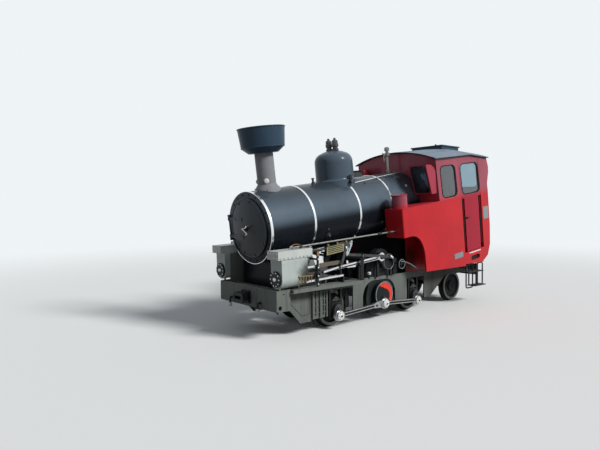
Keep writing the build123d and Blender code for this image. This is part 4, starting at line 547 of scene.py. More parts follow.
def skin(bm, rows, closed=True, capped=False):
    """Faces between rows of points, and over the first and last row if capped."""
    rows = [[bm.verts.new(point) for point in points] for points in rows]
    count = len(rows[0])
    for lower, upper in zip(rows, rows[1:]):
        for i in range(count if closed else count - 1):
            j = (i + 1) % count
            bm.faces.new((lower[i], lower[j], upper[j], upper[i]))
    if capped:
        bm.faces.new(rows[-1])
        bm.faces.new(rows[0][::-1])


def pipe(name, points, radius, finish, slot, closed=False, smooth=True, body="chassis"):
    """Bent pipe through points."""
    curve = bpy.data.curves.new(name, "CURVE")
    curve.dimensions = "3D"
    curve.bevel_depth = radius
    curve.bevel_resolution = 3
    curve.use_fill_caps = True
    curve.resolution_u = 6
    spline = curve.splines.new("NURBS" if smooth else "POLY")
    spline.points.add(len(points) - 1)
    for point, place in zip(spline.points, points):
        point.co = (*place, 1.0)
    if smooth:
        spline.order_u = 3
        spline.use_endpoint_u = not closed
    spline.use_cyclic_u = closed
    add_piece(name, curve, finish, slot, body=body)


def add_twins(*pieces):
    """Adds left pieces, then their mirror images: each a name, a mesh or the points of a pipe, and its looks."""
    for side, word in SIDES:
        for name, shape, *looks in pieces:
            looks = [look.format(word) if isinstance(look, str) else look for look in looks]
            if isinstance(shape, bmesh.types.BMesh):
                twin = shape.copy()
                bmesh.ops.scale(twin, vec=(1, side, 1), verts=twin.verts)
                add_piece(f"{name}_{word}", twin, *looks)
            else:
                pipe(f"{name}_{word}", [(x, side * y, z) for x, y, z in shape], *looks)


def rounded_loop(half_width, half_height, corner, steps=6):
    """Points of a rounded rectangle round the origin."""
    points = []
    for cx, cy, start in ((1, 1, 0), (-1, 1, 90), (-1, -1, 180), (1, -1, 270)):
        for i in range(steps + 1):
            a = radians(start + 90 * i / steps)
            points.append(((half_width - corner) * cx + corner * cos(a),
                           (half_height - corner) * cy + corner * sin(a)))
    return points


def gasket_ring(bm, centre, along, up, out, half_width, half_height, corner, width):
    """Raised ring of rubber round a pane."""
    rows = []
    for share, lift in ((-0.45, 0.0), (-0.40, 0.006), (0.0, 0.009), (0.5, 0.006), (0.55, 0.0)):
        grow = share * width
        loop = rounded_loop(half_width + grow, half_height + grow, corner + grow)
        rows.append([centre + along * x + up * y + out * lift for x, y in loop])
    skin(bm, rows)


def capsule(bm, centre, along, up, half_width, half_height, thick, steps=8):
    """Flat capsule plate with a softened edge, facing left."""
    rows = []
    for radius, lift in ((half_width, 0.0), (half_width, thick * 0.7), (half_width - thick * 0.5, thick)):
        points = []
        for cy, start in ((1, 0), (-1, 180)):
            middle = centre + up * (cy * (half_height - half_width)) + LEFT * lift
            turns = [radians(start + 180 * i / steps) for i in range(steps + 1)]
            points += [middle + along * (radius * cos(a)) + up * (radius * sin(a)) for a in turns]
        rows.append(points)
    skin(bm, rows, capped=True)


# Boiler

def on_boiler(u, angle, lift=0.0):
    """Point on the boiler's skin and its outward direction: angle in degrees from the left side, up positive."""
    out = LEFT * cos(radians(angle)) + UPWARD * sin(radians(angle))
    return tilted(u, 0, 0) + out * (BOILER_R + lift), out


def boiler_bolts():
    bm = bmesh.new()
    centre = tilted(2.891, 0, 0)
    ring = circle(centre, 0.572, 20, LEFT, UPWARD, 0.5)
    clear_of_hinge = [place for place in ring if place.y >= -0.40 or abs((place - centre).dot(UPWARD)) >= 0.30]
    bolts(bm, clear_of_hinge, FORWARD, 0.013)
    add_piece("smokebox_front_bolts", bm, "black", "boiler_blue_grey")
    bm = bmesh.new()
    for u in (1.985, 2.80):
        for i in range(52):
            place, out = on_boiler(u, -90 + 360 * i / 52)
            if abs(place.y) > 0.30 or out.z > 0:
                rivets(bm, [place], out, trim().frame_rivet)
    add_piece("smokebox_rivets", bm, "boiler", "boiler_blue_grey", 50)
    bm = bmesh.new()
    for u in (1.915, 0.757, -0.175):
        place, out = on_boiler(u, -52, 0.012)
        across = FORWARD.cross(out)
        block(bm, place, (0.034, 0.050, 0.026), 0.004, (FORWARD, across, out))
        solid(bm, place + out * 0.012, across, 10, (0.006, -0.045), (0.006, 0.045))
    add_piece("band_clamps", mirror(bm), "steel", "bright_steel")


def chimney_beads():
    for name, w, radius, thick in (("cap_rim_bead", 1.686, 0.418, 0.011), ("cap_shoulder_bead", 1.353, 0.386, 0.007)):
        pipe(name, circle(tilted(CHIMNEY_U, 0, w), radius, 48, FORWARD, LEFT), thick, "cap", "boiler_blue_grey", True)
    bm = bmesh.new()
    foot = [tilted(CHIMNEY_U + u, y, (BOILER_R ** 2 - y ** 2) ** 0.5 + 0.020)
            for u, y, _ in circle((0, 0, 0), 0.225, 10, AHEAD, LEFT, 0.5)]
    bolts(bm, foot, UPWARD, 0.013)
    add_piece("chimney_foot_bolts", bm, "pipe_grey", "chimney_grey")


def boiler_fittings():
    rod = [tilted(0.66, 0.383, 0.535), tilted(-0.13, 0.372, 0.585), tilted(-1.085, 0.364, 0.637)]
    pipe("regulator_rod", rod, 0.009, "band", "polished_band", smooth=False)
    bm = bmesh.new()
    for u, w in ((0.30, 0.558), (-0.60, 0.611)):
        solid(bm, tilted(u, 0.372, 0.500), UPWARD, 12, (0.022, 0), (0.018, 0.012), (0.009, 0.020), (0.009, w - 0.506))
    solid(bm, tilted(0.748, 0.372, 0.585), LEFT, 16, (0.060, 0), (0.060, 0.020), (0.036, 0.030), (0.036, 0.085),
          (0.050, 0.095), (0.050, 0.115), (0, 0.120))
    solid(bm, tilted(0.748, 0.430, 0.600), UPWARD, 14, (0.026, 0), (0.026, 0.070), (0.034, 0.080), (0.034, 0.100),
          (0, 0.110))
    solid(bm, tilted(1.453, 0.135, 0.609), UPWARD, 14, (0.034, -0.01), (0.034, 0.030), (0.020, 0.040), (0.020, 0.085),
          (0.030, 0.092), (0.030, 0.110), (0, 0.114))
    add_piece("boiler_top_valves", bm, "dull_steel", "fitting_brass", 40)
    bm = bmesh.new()
    for u, angle, size in ((1.57, -31, 0.052), (1.60, -20, 0.028), (0.10, -28, 0.030)):
        solid(bm, *on_boiler(u, angle), 16, (size, -0.01), (size, size * 0.3), (size * 0.6, size * 0.45),
              (size * 0.6, size * 0.8), (size * 0.42, size * 1.1))
    add_piece("washout_plugs", mirror(bm), "dull_steel", "fitting_brass", 40)
    bm = bmesh.new()
    # The white discs on both sides of the chimney's foot are painted highlights; the one on the boiler is a plug.
    out = (FORWARD * 0.60 + LEFT * 0.80).normalized()
    solid(bm, tilted(CHIMNEY_U, 0, 0.765) + out * 0.1645, out, 20, (0.046, 0), (0.046, 0.008), (0.030, 0.014),
          (0.030, 0.024), (0, 0.028))
    mirror(bm)
    solid(bm, *on_boiler(-0.77, 32.5), 16, (0.026, -0.005), (0.026, 0.010), (0.016, 0.022), (0, 0.024))
    add_piece("white_plug_and_highlight_discs", bm, "white", "polished_band", 40)


class LOCO_OT_boiler(bpy.types.Operator):
    """Paints the boiler, dome and chimney and adds their small fittings"""
    bl_idname = "loco.boiler"
    bl_label = "Boiler"

    def execute(self, context):
        dress("boiler", "smokebox", "boiler_barrel", "firebox", "smokebox_saddle")
        dress("dome", "steam_dome")
        dress("door", "smokebox_door")
        dress("cap", "chimney_cap")
        dress("pipe_grey", "chimney_pipe")
        dress("band", "boiler_bands")
        dress("dull_steel", "safety_valves")
        dress("grey_steel", "whistle")
        # The firebox sides are near black, partly their own oily black and partly painted shade under the boiler.
        dress("soot", "firebox_sides")
        boiler_bolts()
        chimney_beads()
        boiler_fittings()
        return {"FINISHED"}


def door_handles():
    bm = bmesh.new()
    hub = tilted(3.005, 0, 0)
    solid(bm, hub, FORWARD, 16, (0.020, 0), (0.020, 0.035), (0.012, 0.042))
    for lean, out in ((0.35, 0.018), (-0.60, 0.032)):
        arm = (LEFT + UPWARD * lean).normalized()
        root = hub + FORWARD * out
        block(bm, root + arm * 0.085, (0.012, 0.17, 0.018), 0.003, (FORWARD, arm, FORWARD.cross(arm)))
        solid(bm, root + arm * 0.165, FORWARD, 12, (0.011, 0), (0.011, 0.045), (0, 0.047))
    add_piece("door_lock_handles", bm, "steel", "bright_steel", 40, "smokebox_door")


def door_straps():
    bm = bmesh.new()
    for w in (-0.154, 0.154):
        start, end = tilted(2.934, -0.470, w) + FORWARD * 0.005, tilted(2.966, -0.10, w) + FORWARD * 0.005
        bar(bm, start, end, 0.060, 0.012, 0.003, UPWARD)
        heads = [start.lerp(end, share) + FORWARD * 0.005 for share in (0.1, 0.45, 0.8)]
        bolts(bm, heads, FORWARD, trim().small_bolt)
    for angle in (35, 75, 115, 245, 285, 325):
        inward = -(LEFT * cos(radians(angle)) + UPWARD * sin(radians(angle)))
        place = tilted(2.918, 0, 0) - inward * 0.488
        block(bm, place + inward * 0.020 + FORWARD * 0.004, (0.016, 0.070, 0.032), 0.004,
              (FORWARD, inward, FORWARD.cross(inward)))
        bolts(bm, [place + inward * 0.024 + FORWARD * 0.012], FORWARD, trim().bolt)
    add_piece("door_straps", bm, "dome", "boiler_blue_grey", body="smokebox_door")
    rim = circle(tilted(2.916, 0, 0), 0.502, 56, LEFT, UPWARD)
    pipe("door_rim", rim, 0.010, "dome", "boiler_blue_grey", True, body="smokebox_door")


class LOCO_OT_smokebox_door(bpy.types.Operator):
    """Adds the door's locking wheel, handles, straps and rim"""
    bl_idname = "loco.smokebox_door"
    bl_label = "Smokebox door"

    def execute(self, context):
        door_handles()
        door_straps()
        return {"FINISHED"}


# Body

WALL_UP = UPWARD * cos(WALL_LEAN) - LEFT * sin(WALL_LEAN)
WALL_OUT = LEFT * cos(WALL_LEAN) + UPWARD * sin(WALL_LEAN)


def roof_edge_w(y):
    radius = (ROOF_HALF ** 2 + ROOF_RISE ** 2) / (2 * ROOF_RISE)
    return ROOF_EDGE_W + ROOF_RISE - radius + (radius ** 2 - y ** 2) ** 0.5


def body_beads():
    skin_y = BODY_Y + 0.001
    waist = [tilted(u, skin_y, WAIST_W) for u in (0.115, -1.895)]
    corner = [tilted(-1.092, 1.099, -0.03), tilted(-1.092, BODY_Y - 0.880 * tan(WALL_LEAN) + 0.0005, 0.82)]
    turns = [radians(angle) for angle in range(0, 91, 10)]
    arch = [tilted(-0.137 - 0.351 * cos(a), skin_y, -1.107 + 0.5 * sin(a)) for a in turns]
    add_twins(("waist_bead", waist, 0.007, "red", "body_red", False, False),
              ("cab_corner_bead", corner, 0.006, "rubber", "handrail_black", False, False),
              ("skirt_edge_bead", arch, 0.006, "red", "body_red"))


def door_trim():
    recess, handle, stops = (bmesh.new() for _ in range(3))
    for u in (-1.983, -2.612):
        capsule(recess, tilted(u, 1.0402, -0.635), FORWARD, UPWARD, 0.056, 0.550, 0.004)
    place = tilted(-2.045, 1.096, -0.52)
    solid(handle, place, LEFT, 18, (0.026, 0), (0.026, 0.006), (0.014, 0.010), (0.012, 0.036))
    block(handle, place + LEFT * 0.032 - FORWARD * 0.045, (0.115, 0.012, 0.018), 0.004, TILTED)
    add_twins(("door_recess_plates", recess, "door_red", "handrail_black", None, "cab_door_{}"),
              ("door_handle", handle, "black", "handrail_black", 40, "cab_door_{}"))
    # Strips on the cab side that the inward doors close against
    for u, rise, size in ((-1.913, 0.404, (0.032, 0.004, 0.816)), (-2.677, 0.404, (0.026, 0.004, 0.816)),
                          (-2.295, 0.799, (0.738, 0.004, 0.026))):
        place = tilted(u, BODY_Y, WAIST_W) + WALL_UP * rise + WALL_OUT * 0.0025
        block(stops, place, size, 0.001, (FORWARD, WALL_OUT, WALL_UP))
    add_twins(("door_stops", stops, "red", "body_red"))


def plates_and_rivets():
    face_y = BODY_Y + 0.002
    plates, sill, recess, heads = (bmesh.new() for _ in range(4))
    block(plates, tilted(-1.655, face_y, -1.285), (0.32, 0.006, 0.115), 0.002, TILTED)
    block(plates, tilted(-2.835, face_y, -0.51), (0.215, 0.006, 0.28), 0.002, TILTED)
    block(sill, tilted(-2.30, face_y, -1.312), (0.46, 0.005, 0.022), 0.001, TILTED)
    # Black capsule plates at the back of the foot holes under the doors are painted shade.
    for y, half_width, half_length in ((1.060, 0.058, 0.181), (1.052, 0.066, 0.190)):
        capsule(recess, tilted(-2.306, y, -1.440), UPWARD, FORWARD, half_width, half_length, 0.006)
    rivets(heads, row(tilted(0.085, BODY_Y, -0.10), UPWARD * -0.042, 12), LEFT, trim().tank_rivet)
    for w in (-0.09, -0.56):
        rivets(heads, row(tilted(0.125, 0.715, w), LEFT * 0.043, 9), FORWARD, trim().tank_rivet)
    add_twins(("blank_plates", plates, "plate_grey", "roof_grey"), ("sill_strip", sill, "white", "roof_grey"),
              ("step_recess", recess, "rubber", "handrail_black"), ("tank_rivets", heads, "red", "body_red", 50))


def lid_grips():
    bm = bmesh.new()
    centre = tilted(-0.06, 0.900, 0.216)
    grip = centre + LEFT * 0.095
    for step in (-0.035, 0.035):
        solid(bm, grip + FORWARD * step, UPWARD, 10, (0.008, 0), (0.008, 0.026))
    block(bm, grip + UPWARD * 0.028, (0.090, 0.014, 0.010), 0.003, TILTED)
    turn(bm, [(0.090, 0.0), (0.094, 0.003), (0.098, 0.0)], centre, UPWARD, 32)
    add_twins(("lid_grip", bm, "red", "body_red", 40, "filler_lid_{}"))


def roof_trim():
    half = ROOF_HALF + 0.045
    edge = [tilted(-1.043, y, roof_edge_w(y) + 0.013) for y in (half * i / 12 for i in range(-12, 13))]
    pipe("roof_front_edge", edge, 0.013, "rubber", "handrail_black")
    gutter = [tilted(u, half - 0.004, roof_edge_w(half) + lift)
              for u, lift in ((-1.05, 0.008), (-2.339, 0.008), (-3.03, -0.095))]
    add_twins(("roof_gutter", gutter, 0.009, "rubber", "handrail_black", False, False))
    bm = bmesh.new()
    for y in (-0.7, -0.35, 0.0, 0.35, 0.7):
        slope = y / 3.2
        block(bm, tilted(-1.70, y, roof_edge_w(y) + 0.0295), (1.26, 0.016, 0.006), 0.001,
              (FORWARD, LEFT * cos(slope) - UPWARD * sin(slope), UPWARD * cos(slope) + LEFT * sin(slope)))
    add_piece("roof_seams", bm, "roof", "roof_grey")
    bm = bmesh.new()
    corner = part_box("roof_hatch")[1]
    front_x, top = corner[0] - 0.022, corner[2]
    for place in row((front_x - 0.08, 0.423, top - 0.085), Vector((-0.085, 0, -0.0095)), 7):
        block(bm, place, (0.060, 0.010, 0.052), 0.003)
    mirror(bm)
    for place in row((front_x + 0.004, -0.36, top - 0.075), LEFT * 0.08, 10):
        block(bm, place, (0.010, 0.056, 0.060), 0.003)
    solid(bm, (front_x - 0.05, 0.22, top - 0.008), UP, 16, (0.018, 0), (0.012, 0.012), (0.020, 0.028), (0.014, 0.040),
          (0, 0.042))
    add_piece("hatch_louvres", bm, "cap", "roof_grey")


class LOCO_OT_body(bpy.types.Operator):
    """Paints the tanks, cab, doors and lids and adds beads, handles and blank plates"""
    bl_idname = "loco.body"
    bl_label = "Tanks and cab"

    def execute(self, context):
        dress("red", "side_tanks", "filler_lid_left", "filler_lid_right", "cab_sides")
        dress("end_red", "cab_end_walls")
        dress("hood_red", "window_hoods")
        dress("door_red", "cab_door_left", "cab_door_right")
        dress("roof", "cab_roof")
        dress("cap", "roof_hatch")
        dress("black", "handrails", "entrance_steps", "cab_fittings")
        dress("floor_boards", "cab_floor")
        dress("glass", "cab_glass", "door_glass_left", "door_glass_right")
        dress("dark_glass", "hood_glass")
        body_beads()
        door_trim()
        plates_and_rivets()
        lid_grips()
        roof_trim()
        return {"FINISHED"}


class LOCO_OT_window_rubbers(bpy.types.Operator):
    """Black rubber rings round the windows"""
    bl_idname = "loco.window_rubbers"
    bl_label = "Window rubbers"

    def execute(self, context):
        gasket = trim().gasket
        panes = (("cab_window_rubber", -1.225, -1.760, 0.052, 0.708, "chassis"),
                 ("door_window_rubber", -1.950, -2.640, 0.045, 0.700, "cab_door_{}"))
        for name, front, rear, low, high, body in panes:
            bm = bmesh.new()
            middle = tilted((front + rear) / 2, BODY_Y, WAIST_W) + WALL_UP * ((low + high) / 2)
            gasket_ring(bm, middle, FORWARD, WALL_UP, WALL_OUT, (front - rear) / 2, (high - low) / 2, 0.110, gasket)
            add_twins((name, bm, "rubber", "handrail_black", 60, body))
        bm = bmesh.new()
        slope = Vector((0.140, 0, 0.605)).normalized()
        up, out = FORWARD * slope.x + UPWARD * slope.z, FORWARD * slope.z - UPWARD * slope.x
        gasket_ring(bm, tilted(-0.835, 0.851, 0.4325), LEFT, up, out, 0.175, 0.2765, 0.050, gasket * 0.8)
        gasket_ring(bm, tilted(-2.981, 0.560, 0.350), LEFT, UPWARD, FORWARD, 0.280, 0.280, 0.090, gasket)
        add_piece("end_window_rubbers", mirror(bm), "rubber", "handrail_black", 60)
        return {"FINISHED"}


class LOCO_OT_cab_inside(bpy.types.Operator):
    """Gauges, pipes and handles on the backhead"""
    bl_idname = "loco.cab_inside"
    bl_label = "Cab inside"

    def execute(self, context):
        back = -FORWARD
        bm, faces = bmesh.new(), bmesh.new()
        solid(bm, tilted(-1.475, 0.30, -0.10), UPWARD, 12, (0.010, 0), (0.010, 0.30))
        for w in (-0.10, 0.19):
            solid(bm, tilted(BACKHEAD_U, 0.30, w), back, 14, (0.022, 0), (0.016, 0.014), (0.012, 0.045),
                  (0.018, 0.052), (0, 0.060))
        mirror(bm)
        for y, w, r in ((0.16, 0.40, 0.075), (-0.16, 0.40, 0.075), (0.0, 0.46, 0.055)):
            place = tilted(BACKHEAD_U, y, w)
            solid(bm, place, back, 28, (r, 0), (r, 0.050), (r - 0.010, 0.055), (r - 0.012, 0.046))
            solid(faces, place, back, 28, (r - 0.013, 0.047), (r - 0.013, 0.050))
        block(bm, tilted(-1.455, 0.0, -0.42), (0.026, 0.36, 0.26), 0.008, TILTED)
        add_piece("backhead_fittings", bm, "brass", "fitting_brass", 40)
        add_piece("gauge_faces", faces, "white", "fitting_brass", 40)
        handle = ((-1.445, 0.02, 0.24), (-1.50, 0.02, 0.24), (-1.52, 0.05, 0.20), (-1.52, 0.26, -0.02))
        pipe("regulator_handle", [tilted(*place) for place in handle], 0.011, "steel", "bright_steel", smooth=False)
        for number, y in ((1, -0.42), (2, 0.42)):
            bends = ((-1.46, y * 0.4, 0.46), (-1.49, y * 0.7, 0.30), (-1.49, y, 0.0), (-1.46, y, -0.40))
            pipe(f"backhead_pipe_{number}", [tilted(*place) for place in bends], 0.010, "copper", "fitting_brass")
        return {"FINISHED"}


# Running gear

def rod_caps():
    for side, word, px, pz in CRANK_PINS:
        body, out = f"rods_{word}", LEFT * side

        def eye(x, y, z):
            return Vector((x + px, side * y, z + pz))

        caps, nuts, flutes = bmesh.new(), bmesh.new(), bmesh.new()
        for x, z in ((FRONT_X, AXLE_Z), (JACKSHAFT_X, JACKSHAFT_Z), (REAR_X, AXLE_Z)):
            solid(caps, eye(x, 0.877, z), out, 32, (0.078, 0), (0.080, 0.006), (0.074, 0.012), (0.040, 0.015),
                  (0.036, 0.020), (0, 0.021))
            bolts(nuts, circle(eye(x, 0.889, z), 0.057, 6, AHEAD, UP), out, 0.008)
            solid(nuts, eye(x, 0.897, z), out, 16, (0.016, 0), (0.016, 0.014), (0.012, 0.018))
            solid(nuts, eye(x, 0.815, z + 0.092), UP, 14, (0.016, 0), (0.016, 0.030), (0.021, 0.034), (0.021, 0.046),
                  (0, 0.050))
        add_piece(f"rod_caps_{body}", caps, "white", "bright_steel", 40, body)
        middle = eye(JACKSHAFT_X, 0.844, JACKSHAFT_Z)
        for end_x, skip in ((FRONT_X, 0.300), (REAR_X, 0.115)):
            end = eye(end_x, 0.844, AXLE_Z)
            line = (end - middle).normalized()
            bar(flutes, middle + line * skip, end - line * 0.115, 0.002, 0.034, 0.0005, out)
        add_piece(f"rod_flutes_{body}", flutes, "black", "bright_steel", body=body)
        knuckle = eye(JACKSHAFT_X, 0.843, JACKSHAFT_Z).lerp(eye(FRONT_X, 0.843, AXLE_Z), 0.235 / 1.2217)
        solid(nuts, knuckle, out, 18, (0.026, 0), (0.026, 0.010), (0.018, 0.016))
        add_piece(f"rod_nuts_{body}", nuts, "dull_steel", "bright_steel", 40, body)


def balance_weights():
    """Crescents and rims on the jackshaft's discs, which stand off centre away from the crank pins."""
    bm, rim = bmesh.new(), bmesh.new()
    disc_share, steps = -0.060 / 0.110, 24
    for side, _, px, pz in CRANK_PINS:
        centre = Vector((JACKSHAFT_X + px * disc_share, side * 0.775, JACKSHAFT_Z + pz * disc_share))
        away = Vector((-0.737, 0, 0.676)) if side > 0 else Vector((-px, 0, -pz)).normalized()
        across = LEFT.cross(away)
        rows = [[], [], [], []]
        for share in row(0.0, 1 / steps, steps + 1):
            angle = radians(-82 + 164 * share)
            swell, taper = min(1.0, 4.0 * share + 0.15), 1.0 - 0.75 * max(0.0, share - 0.45) / 0.55
            thick = 0.030 + 0.078 * swell * taper
            direction = away * cos(angle) - across * sin(angle)
            section = ((0.226, 0.0), (0.224, 0.004), (0.228 - thick, 0.004), (0.226 - thick, 0.0))
            for points, (radius, lift) in zip(rows, section):
                points.append(centre + direction * radius + LEFT * side * lift)
        skin(bm, rows, closed=False)
        turn(rim, [(0.232, 0), (0.234, 0.004), (0.248, 0.004), (0.250, 0)], centre, LEFT * side, 56)
    add_piece("balance_weights", bm, "crescent", "body_red", 40, "jackshaft")
    add_piece("balance_disc_rims", rim, "plate_grey", "wheel_steel", 40, "jackshaft")


def wheel_trim():
    for body, x in (("front_axle", FRONT_X), ("rear_axle", REAR_X), ("trailing_axle", TRAILING_X)):
        bm, treads = bmesh.new(), bmesh.new()
        face = Vector((x, 0.585, AXLE_Z))
        turn(treads, [(0.320, -0.002), (0.319, 0.0015), (0.270, 0.0015), (0.268, -0.002)], face, LEFT, 64)
        bolts(bm, circle(face - LEFT * 0.0325, 0.150, 8, AHEAD, UP, 0.5), LEFT, trim().bolt)
        for place in circle(face - LEFT * 0.034, 0.205, 4, AHEAD, UP, 0.25):
            turn(bm, [(0.042, 0), (0.042, 0.008), (0.034, 0.008), (0.034, 0)], place, LEFT, 18)
        add_piece(f"tyre_faces_{body}", mirror(treads), "tread", "wheel_steel", 40, body)
        add_piece(f"wheel_bolts_{body}", mirror(bm), "wheel", "wheel_steel", 40, body)
    bm = bmesh.new()
    for x in (FRONT_X, REAR_X):
        for leaf in range(5):
            block(bm, (x, 0.692, 0.500 + 0.014 * leaf), (0.220 - 0.032 * leaf, 0.040, 0.011), 0.002)
        block(bm, (x, 0.692, 0.528), (0.034, 0.048, 0.080), 0.004)
        bolts(bm, [(x, 0.692, 0.568)], UP, trim().bolt)
    add_piece("axle_box_springs", mirror(bm), "dull_steel", "running_gear_black")


def frame_trim():
    bm, radius = bmesh.new(), trim().frame_rivet
    rivets(bm, row((-2.82, FRAME_Y, 0.800), AHEAD * 0.115, 42), LEFT, 0.008)
    rivets(bm, row((2.10, FRAME_Y, 0.500), AHEAD * 0.125, 6), LEFT, radius)
    rivets(bm, row((2.14, FRAME_Y, 0.30), UP * 0.08, 6), LEFT, radius)
    for x in (0.85, 0.98, -0.25, -0.45):
        rivets(bm, row((x, FRAME_Y, 0.36), UP * 0.09, 4), LEFT, radius)
    for x, z, facing in ((2.946, 0.535, 1), (2.946, 0.815, 1), (-2.940, 0.595, -1), (-2.940, 0.805, -1)):
        rivets(bm, row((x, 0.10, z), LEFT * 0.087, 9), AHEAD * facing, 0.010)
    add_piece("frame_rivets", mirror(bm), "frame", "frame_grey", 50)
    panel = ((2.635, 0.784), (2.120, 0.784), (2.120, 0.350), (2.294, 0.330), (2.531, 0.554), (2.635, 0.651))
    panel = [(x, FRAME_Y + 0.0005, z) for x, z in panel]
    add_twins(("frame_panel_seam", panel, 0.0045, "black", "frame_grey", True, False))
    pipe("brake_wheel_rim", circle((-0.150, 0.8815, 1.040), 0.091, 32, AHEAD, UP), 0.006, "plate_grey",
         "running_gear_black", True)


def beam_trim():
    bm = bmesh.new()
    # Near black discs on the beam ends stand in for holes: painted shade.
    solid(bm, (2.875, 0.850, 0.565), LEFT, 18, (0.034, 0), (0.034, 0.002))
    solid(bm, (2.80, 0.850, 0.78), LEFT, 12, (0.012, 0), (0.012, 0.003))
    add_piece("beam_end_hole_shade_discs", mirror(bm), "soot", "frame_grey")
    bm = bmesh.new()
    for x, facing in ((2.974, 1), (-2.968, -1)):
        bolts(bm, [(x, 0.105, 0.58), (x, 0.105, 0.74)], AHEAD * facing, 0.016)
    add_piece("coupler_bolts", mirror(bm), "black", "handrail_black")
    bends = [(x, 0.42, z) for x, z in ((2.944, 0.60), (3.00, 0.60), (3.015, 0.585), (3.015, 0.50))]
    bm = bmesh.new()
    solid(bm, (3.015, 0.42, 0.51), UP, 20, (0.030, 0), (0.034, -0.020), (0.034, -0.060), (0.026, -0.070), (0, -0.072))
    add_twins(("brake_pipe", bends, 0.022, "black", "handrail_black", False, False),
              ("brake_pipe_head", bm, "white", "handrail_black", 40))


def pipes_and_steps():
    bends = ((1.98, 0.655, 0.78), (1.97, 0.640, 0.50), (1.93, 0.56, 0.25), (1.87, 0.525, 0.10))
    bm = bmesh.new()
    block(bm, (0.70, 0.635, 0.245), (0.80, 0.010, 0.026), 0.003)
    add_twins(("sand_pipe", bends, 0.014, "black", "running_gear_black"),
              ("brake_pull_bar", bm, "black", "running_gear_black"))
    bm = bmesh.new()
    for x0, x1, y, z in ((-2.90, -2.44, 0.925, 0.386), (-2.82, -2.20, 0.910, 0.706)):
        for place in row(((x0 + x1) / 2, y, z + 0.003), LEFT * 0.025, 7):
            block(bm, place, (x1 - x0 - 0.04, 0.008, 0.006), 0.001)
    add_piece("step_treads", mirror(bm), "dull_steel", "frame_grey")
    loops = []
    for end, x0, x1, low, high in (("front", -2.455, -2.195, 0.350, 0.880), ("rear", -2.865, -2.655, 0.380, 0.880)):
        loop = [((x0 + x1) / 2 + x, 1.030, (low + high) / 2 + z)
                for x, z in rounded_loop((x1 - x0) / 2, (high - low) / 2, 0.045)]
        loops.append((f"step_loop_{end}", loop, 0.015, "black", "frame_grey", True, False))
    add_twins(*loops)


class LOCO_OT_running_gear(bpy.types.Operator):
    """Paints the frames, wheels and motion and adds their small parts"""
    bl_idname = "loco.running_gear"
    bl_label = "Running gear"

    def execute(self, context):
        dress("frame", "frame_plates", "frame_ribs", "frame_stretchers", "end_beams", "running_boards")
        dress("frame_dark", "trailing_frame")
        # The cylinder covers are black partly as their own colour and partly as painted shade of the front faces.
        dress("black", "horn_guides", "axle_boxes", "couplers", "brake_gear", "crankshaft", "brake_wheel",
              "cylinder_covers")
        dress("machine_black", "gear_case", "motion_brackets")
        dress("wheel", "front_wheels", "rear_wheels", "trailing_axle", "jackshaft")
        dress("dull_steel", "front_axle", "rear_axle", "valve_gear", "crossheads")
        dress("steel", "coupling_rods_left", "coupling_rods_right")
        dress("bright_rod", "slide_bars", "main_rods")
        dress("grey_steel", "control_rods")
        dress("casing", "cylinders")
        rod_caps()
        balance_weights()
        wheel_trim()
        frame_trim()
        beam_trim()
        pipes_and_steps()
        return {"FINISHED"}


# Motion

def cylinder_details(steel, white, brass):
    small = trim().small_bolt
    bolts(steel, circle(motion(2.737, CYLINDER_Y, 0), 0.108, 10, LEFT, ACROSS), ALONG, trim().bolt)
    bolts(steel, circle(motion(2.130, CYLINDER_Y, 0), 0.112, 10, LEFT, ACROSS), -ALONG, small)
    solid(steel, motion(2.737, CYLINDER_Y, 0), ALONG, 20, (0.036, 0), (0.030, 0.020), (0.014, 0.028))
    bolts(steel, row(motion(2.10, 1.002, 0.338), ALONG * 0.08, 9), LEFT, 0.010)
    for n in (0.352, 0.424):
        bolts(steel, row(motion(2.780, 0.75, n), LEFT * 0.075, 4), ALONG, small)
    solid(white, motion(2.40, 0.86, 0.455), ACROSS, 18, (0.036, 0), (0.036, 0.016), (0.022, 0.026), (0.022, 0.050),
          (0, 0.052))
    for s in (2.25, 2.64):
        solid(brass, motion(s, 0.83, -0.156), -ACROSS, 14, (0.018, 0), (0.018, 0.030), (0.012, 0.036), (0.012, 0.070),
              (0, 0.072))
    block(brass, (2.455, 1.004, 1.062), (0.31, 0.020, 0.016), 0.004)
    for place in row((2.335, 1.004, 1.056), AHEAD * 0.060, 5):
        solid(brass, place, -UP, 10, (0.011, 0), (0.011, 0.030), (0.007, 0.036), (0.007, 0.085), (0.011, 0.092),
              (0, 0.098))


def valve_details(steel, white, brass):
    for s in (1.30, 2.07):
        bolts(steel, [motion(s, 0.83, 0.138)], ACROSS, 0.014)
        bolts(steel, [motion(s, 0.83, -0.135)], -ACROSS, 0.014)
    for x, z, r in ((1.558, 1.130, 0.022), (1.431, 1.455, 0.026)):
        solid(steel, (x, 0.908, z), LEFT, 18, (r, 0), (r, 0.012), (r * 0.6, 0.020))
    for x, z, r in ((1.394, 1.334, 0.024), (1.279, 1.555, 0.026)):
        solid(steel, (x, 0.8835, z), LEFT, 18, (r, 0), (r, 0.010), (0, 0.014))
    for x in (1.38, 1.60, 1.82):
        solid(brass, (x, 0.855, 1.548 - (x - 1.33) * 0.093), UP, 14, (0.022, 0), (0.022, 0.030), (0.014, 0.038),
              (0, 0.040))
    solid(brass, (2.10, 0.893, 1.358), UP, 18, (0.030, 0), (0.030, 0.055), (0.018, 0.065), (0.018, 0.080), (0, 0.082))
    bolts(white, row((2.10, 0.905, 0.88), UP * 0.14, 4), LEFT, 0.014)


